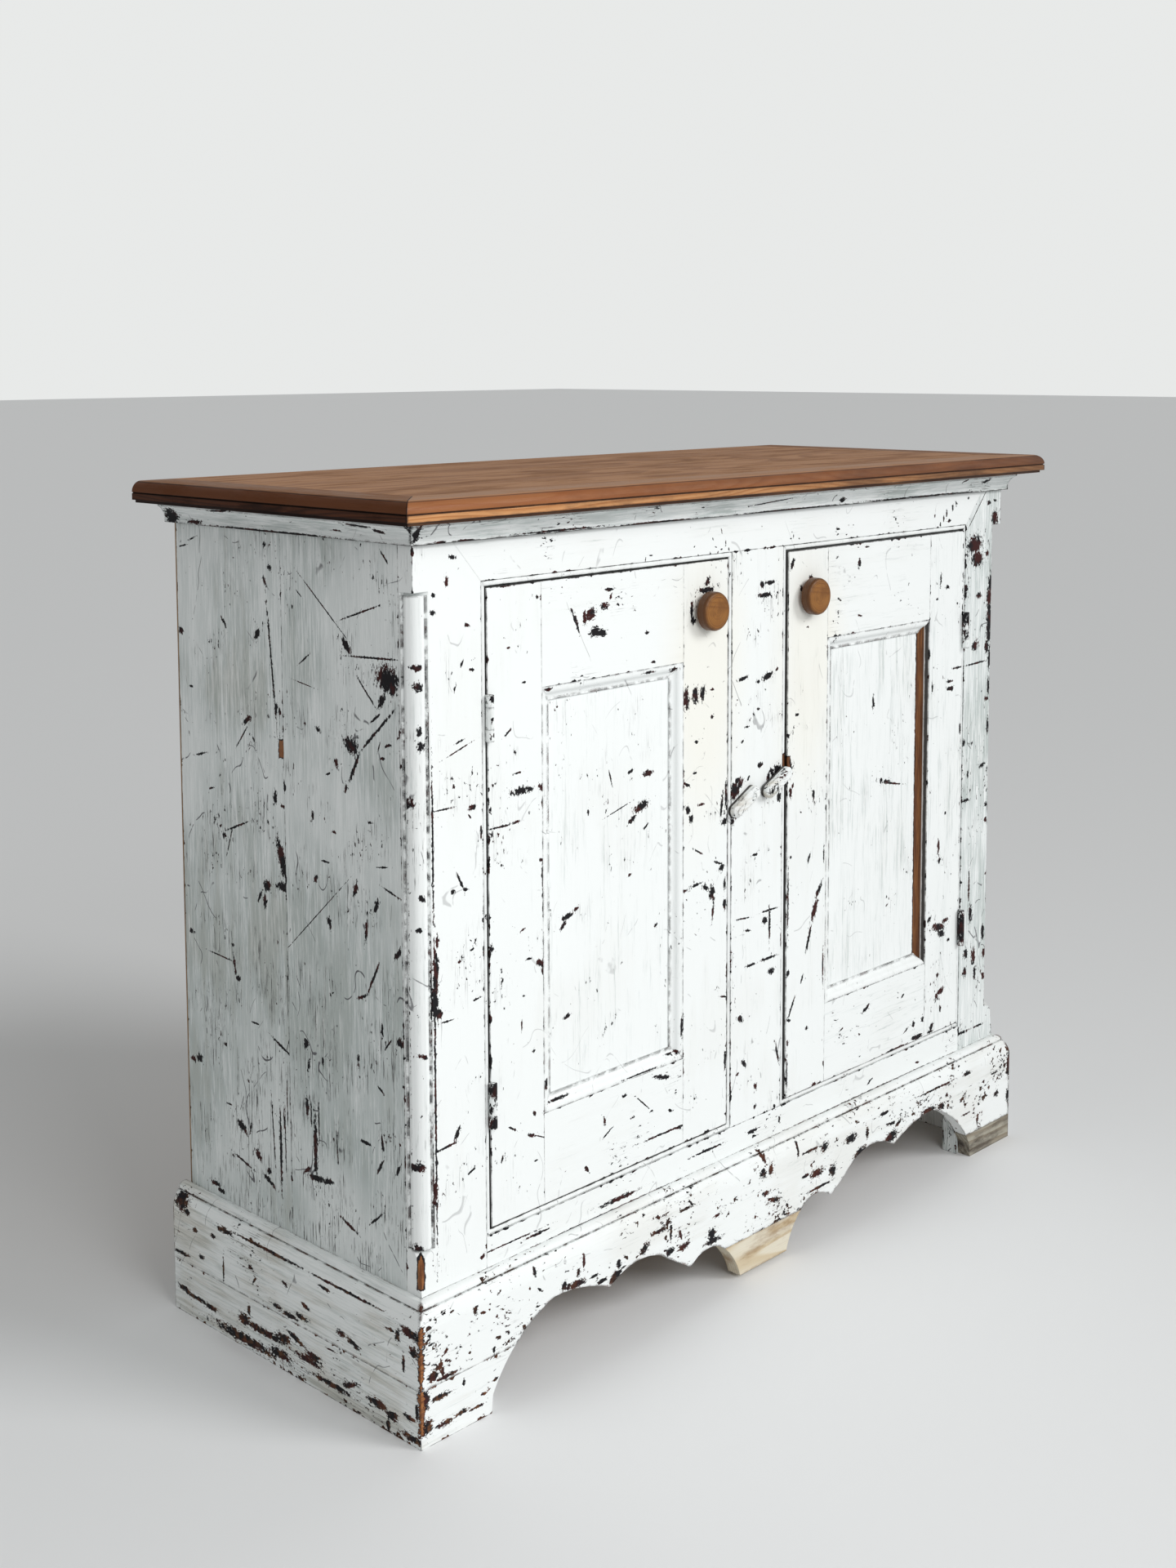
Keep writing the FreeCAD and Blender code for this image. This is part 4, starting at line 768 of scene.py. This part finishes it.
painted("right_door_hinge_stile", crevice=PROUD_DOOR_GAP, seed=38, thin=0.6, chips=0.4, scratches=0.3,
        scars=[
    (365, 723, 4, 2.4), (350, 735, 2, 9), (372, 607, 8, 2), (374, 598, 7, 3), (388, 622, 10, 1.6),
    (343, 710, 3, 1.6), (335, 604, 2, 8), (396, 545, 1.6, 10), (357, 304, 14, 5, -5), (362, 295, 8, 5),
    (346, 308, 5, 3, 30), (370, 310, 8, 3, 10), (355, 244, 3, 3), (362, 222, 8, 4, 15), (354, 218, 4, 4),
    (353, 405, 2.4, 12), (355, 388, 4, 3, 30), (367, 445, 2.6, 2.4), (344, 182, 4, 6, -40),
    (341, 176, 6, 2), (378, 284, 2.6, 2), (362, 200, 2.4, 5), (335, 318, 5, 3, 40)])
painted("right_door_bottom_rail", crevice=PROUD_DOOR_GAP, grain="across", seed=39, thin=0.5, chips=0.4,
        scratches=0.3, scars=[
    (208, 239, 8, 3, 25), (311, 177, 12, 3.4), (270, 174, 24, 1.6), (324, 196, 3, 4), (305, 195, 3, 5),
    (290, 191, 7, 1.2, 25), (160, 226, 4, 1.4, 20), (170, 172, 14, 1.6), (260, 174, 6, 2),
    (282, 236, 4, 1.6, 30)])
painted("right_door_panel", seed=40, thin=0.65, chips=0.3, scratches=0.3,
        stripped=((0.3122, -1, 0), (1, 1, 1)), stripped_rag=0.003, bare_tone=0.55, scars=[
    (243, 504, 3, 4), (254, 501, 8, 3), (226, 600, 2.4, 10), (262, 498, 24, 1.4, -12)])
painted("right_door_panel_mouldings", seed=41, shaped=True, thin=0.35, chips=0.35, worn_edges=0.3)

# Knobs: turned from a dense yellow-brown wood, polished by hands on the face and darker round
# the rim, each glued into its door by a spigot.
knob_pale = (0.29, 0.122, 0.027, 1)
knob_ring = (0.235, 0.092, 0.019, 1)
turning_line = (0.11, 0.040, 0.009, 1)
hand_smudge = (0.15, 0.055, 0.013, 1)
rim_dark = (0.070, 0.025, 0.008, 1)
rim_radii = (0.0165, 0.0205)
for node in ("left_door_knob", "right_door_knob"):
    low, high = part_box(node)
    centre = (Vector(low) + Vector(high)) / 2
    material, tree, place = start_material(node)
    local = vectors(tree, "SUBTRACT", place, (centre.x, centre.y, centre.z))
    figure = place_group(tree, wood, {
        "Grain place": add(tree, "Mapping", put={"Vector": local, "Rotation": (0.25, 1.45, 0.0)}),
        "Pith": (0.004, 0.022, 0.0), "Ring spacing": 0.0032})
    flat_place = vectors(tree, "MULTIPLY", local, (1.0, 0.0, 1.0))
    radius = vectors(tree, "LENGTH", flat_place, out=1)
    turned = add(tree, "TexNoise", noise_dimensions="1D", put={
        "W": times(tree, radius, 900.0), "Scale": 1.0, "Detail": 2.0})
    colour = mix(tree, figure["Rings"], knob_pale, knob_ring)
    colour = mix(tree, ramp(tree, turned, 0.48, 0.72, 0.0, 0.6), colour, turning_line)
    smudge = ramp(tree, speckle(tree, local, (60, 60, 60), 3, 0.6), 0.42, 0.66, 0.0, 0.6)
    colour = mix(tree, smudge, colour, hand_smudge)
    colour = mix(tree, ramp(tree, radius, *rim_radii, 0.0, 0.85), colour, rim_dark)
    height = plus(tree, figure["Height"], times(tree, turned, 0.25))
    finish_material(tree, colour, ramp(tree, smudge, 0.0, 0.6, 0.34, 0.5), height, soften=0.0015, gloss=0.3)
    dress(node, material)

# Turn buttons: small wooden blocks that turn on a screw to hold the doors shut, painted
# over with them and dirty from handling.
# a band of painted shade round the back of each button, where it meets the frame. The dark edges and grey
# streaks are partly wear and partly painted shade.
button_shade_depth = 0.0035
for node, seed in (("left_turn_button", 50), ("right_turn_button", 51)):
    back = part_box(node)[1][1]
    painted(node, grain="across", seed=seed, shaped=True, thin=0.55, chips=1.0, worn_edges=1.35, grime=0.6,
            scratches=1.0, crevice=((-1, back - button_shade_depth, 0), (1, 1, 1)))

# Hinges: four cast iron butts let into the door edges, brushed over with paint that has
# come off the knuckles, the screws and washer of the turn buttons, and the hinge screws,
# three slotted heads to each leaf.
knuckle_chips = [
    (-393, 311, 7, 6), (-393, 278, 7, 7), (-390, 686, 6, 4), (400, 682, 8, 9), (400, 295, 12, 26)]
for node, seed in (("frame_hinge_leaves", 60), ("left_door_hinge_leaves", 61),
                   ("right_door_hinge_leaves", 62), ("turn_button_screws", 63)):
    painted(node, seed=seed, shaped=True, thin=0.6, chips=1.4, worn_edges=1.0, scars=knuckle_chips)

bare_iron = (0.045, 0.043, 0.042, 1)
rusty_iron = (0.115, 0.050, 0.024, 1)
screw_iron, tree, place = start_material("screw_iron")
rust = ramp(tree, speckle(tree, place, (500, 500, 500), 4, 0.6), 0.42, 0.62)
colour = mix(tree, rust, bare_iron, rusty_iron)
finish_material(tree, colour, ramp(tree, rust, 0.0, 1.0, 0.42, 0.8), rust, soften=0.0003,
                metallic=0.6, bump=0.0001, gloss=0.5)

screw_heads = bpy.data.node_groups.new("screw heads", "GeometryNodeTree")
screw_heads.interface.new_socket("Points", in_out="INPUT", socket_type="NodeSocketGeometry")
screw_sizes = {"Head radius": 0.0030, "Head height": 0.00045, "Slot width": 0.0009, "Sunk": 0.00015,
               "Spin seed": 3}
for label, value in screw_sizes.items():
    kind = "NodeSocketInt" if label == "Spin seed" else "NodeSocketFloat"
    screw_heads.interface.new_socket(label, in_out="INPUT", socket_type=kind).default_value = value
screw_heads.interface.new_socket("Heads", in_out="OUTPUT", socket_type="NodeSocketGeometry")


def grow(kind, put=None, out=0, **settings):
    node = screw_heads.nodes.new(kind)
    for name, value in settings.items():
        setattr(node, name, value)
    fill(screw_heads, node, put or {})
    return node.outputs[out]


def vector(lengths):
    return add(screw_heads, "CombineXYZ", put=lengths)


sizes = screw_heads.nodes.new("NodeGroupInput").outputs
shoulder = times(screw_heads, sizes["Head radius"], 0.72)
blank = grow("GeometryNodeMeshCone", {"Vertices": 16, "Radius Top": shoulder,
                                      "Radius Bottom": sizes["Head radius"], "Depth": sizes["Head height"]})
slot_length = times(screw_heads, sizes["Head radius"], 2.4)
slot_block = vector({0: slot_length, 1: sizes["Slot width"], 2: sizes["Head height"]})
cutter = grow("GeometryNodeMeshCube", {"Size": slot_block})
lift = vector({2: sizes["Head height"]})
raised = grow("GeometryNodeTransform", {"Geometry": cutter, "Translation": lift})
head = grow("GeometryNodeMeshBoolean", {"Mesh 1": blank, "Mesh 2": raised}, operation="DIFFERENCE")
drop = vector({2: times(screw_heads, sizes["Sunk"], -1.0)})
seated = grow("GeometryNodeTransform", {"Geometry": head, "Translation": drop})
facing = grow("GeometryNodeInputNamedAttribute", {"Name": "facing"}, data_type="FLOAT")
turn = vector({1: times(screw_heads, facing, math.pi / 2)})
placed = grow("GeometryNodeInstanceOnPoints", {
    "Points": sizes["Points"], "Instance": seated, "Rotation": turn})
spin = grow("FunctionNodeRandomValue", {2: 0.0, 3: math.pi, "Seed": sizes["Spin seed"]}, out=1,
            data_type="FLOAT")
spun = grow("GeometryNodeRotateInstances", {"Instances": placed, "Rotation": vector({2: spin})})
real = grow("GeometryNodeRealizeInstances", {"Geometry": spun})
finished = grow("GeometryNodeSetMaterial", {"Geometry": real, "Material": screw_iron})
screw_heads.links.new(finished, screw_heads.nodes.new("NodeGroupOutput").inputs[0])

hinge_middles = (0.2946, 0.6674)
screw_in = 0.0065
outer_further_in = 0.005
screw_spacing = 0.014
leaf_faces = {"frame": ((-0.3940, 1, -0.1745), (0.4000, -1, -0.1745)),
              "left_door": ((-0.3924, -1, -0.1745),), "right_door": ((0.3984, 1, -0.1765),)}
for count, (holder, leaves) in enumerate(leaf_faces.items()):
    points = bpy.data.meshes.new(holder + "_hinge_screws")
    spots = [((x, front + screw_in + outer_further_in * (row != 0), middle + screw_spacing * row), way)
             for x, way, front in leaves for middle in hinge_middles for row in (-1, 0, 1)]
    points.from_pydata([spot for spot, way in spots], [], [])
    ways = points.attributes.new("facing", "FLOAT", "POINT")
    for index, (spot, way) in enumerate(spots):
        ways.data[index].value = way
    screws = bpy.data.objects.new(holder + "_hinge_screws", points)
    scene.collection.objects.link(screws)
    modifier = screws.modifiers.new("heads", "NODES")
    modifier.node_group = screw_heads
    for item in screw_heads.interface.items_tree:
        if item.in_out == "INPUT" and item.name in screw_sizes:
            modifier[item.identifier] = screw_sizes[item.name] + (count if item.name == "Spin seed" else 0)
    grown = screws.evaluated_get(bpy.context.evaluated_depsgraph_get())
    screws.data = bpy.data.meshes.new_from_object(grown)
    screws.modifiers.clear()
    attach(screws, "carcass" if holder == "frame" else holder)

low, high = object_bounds()
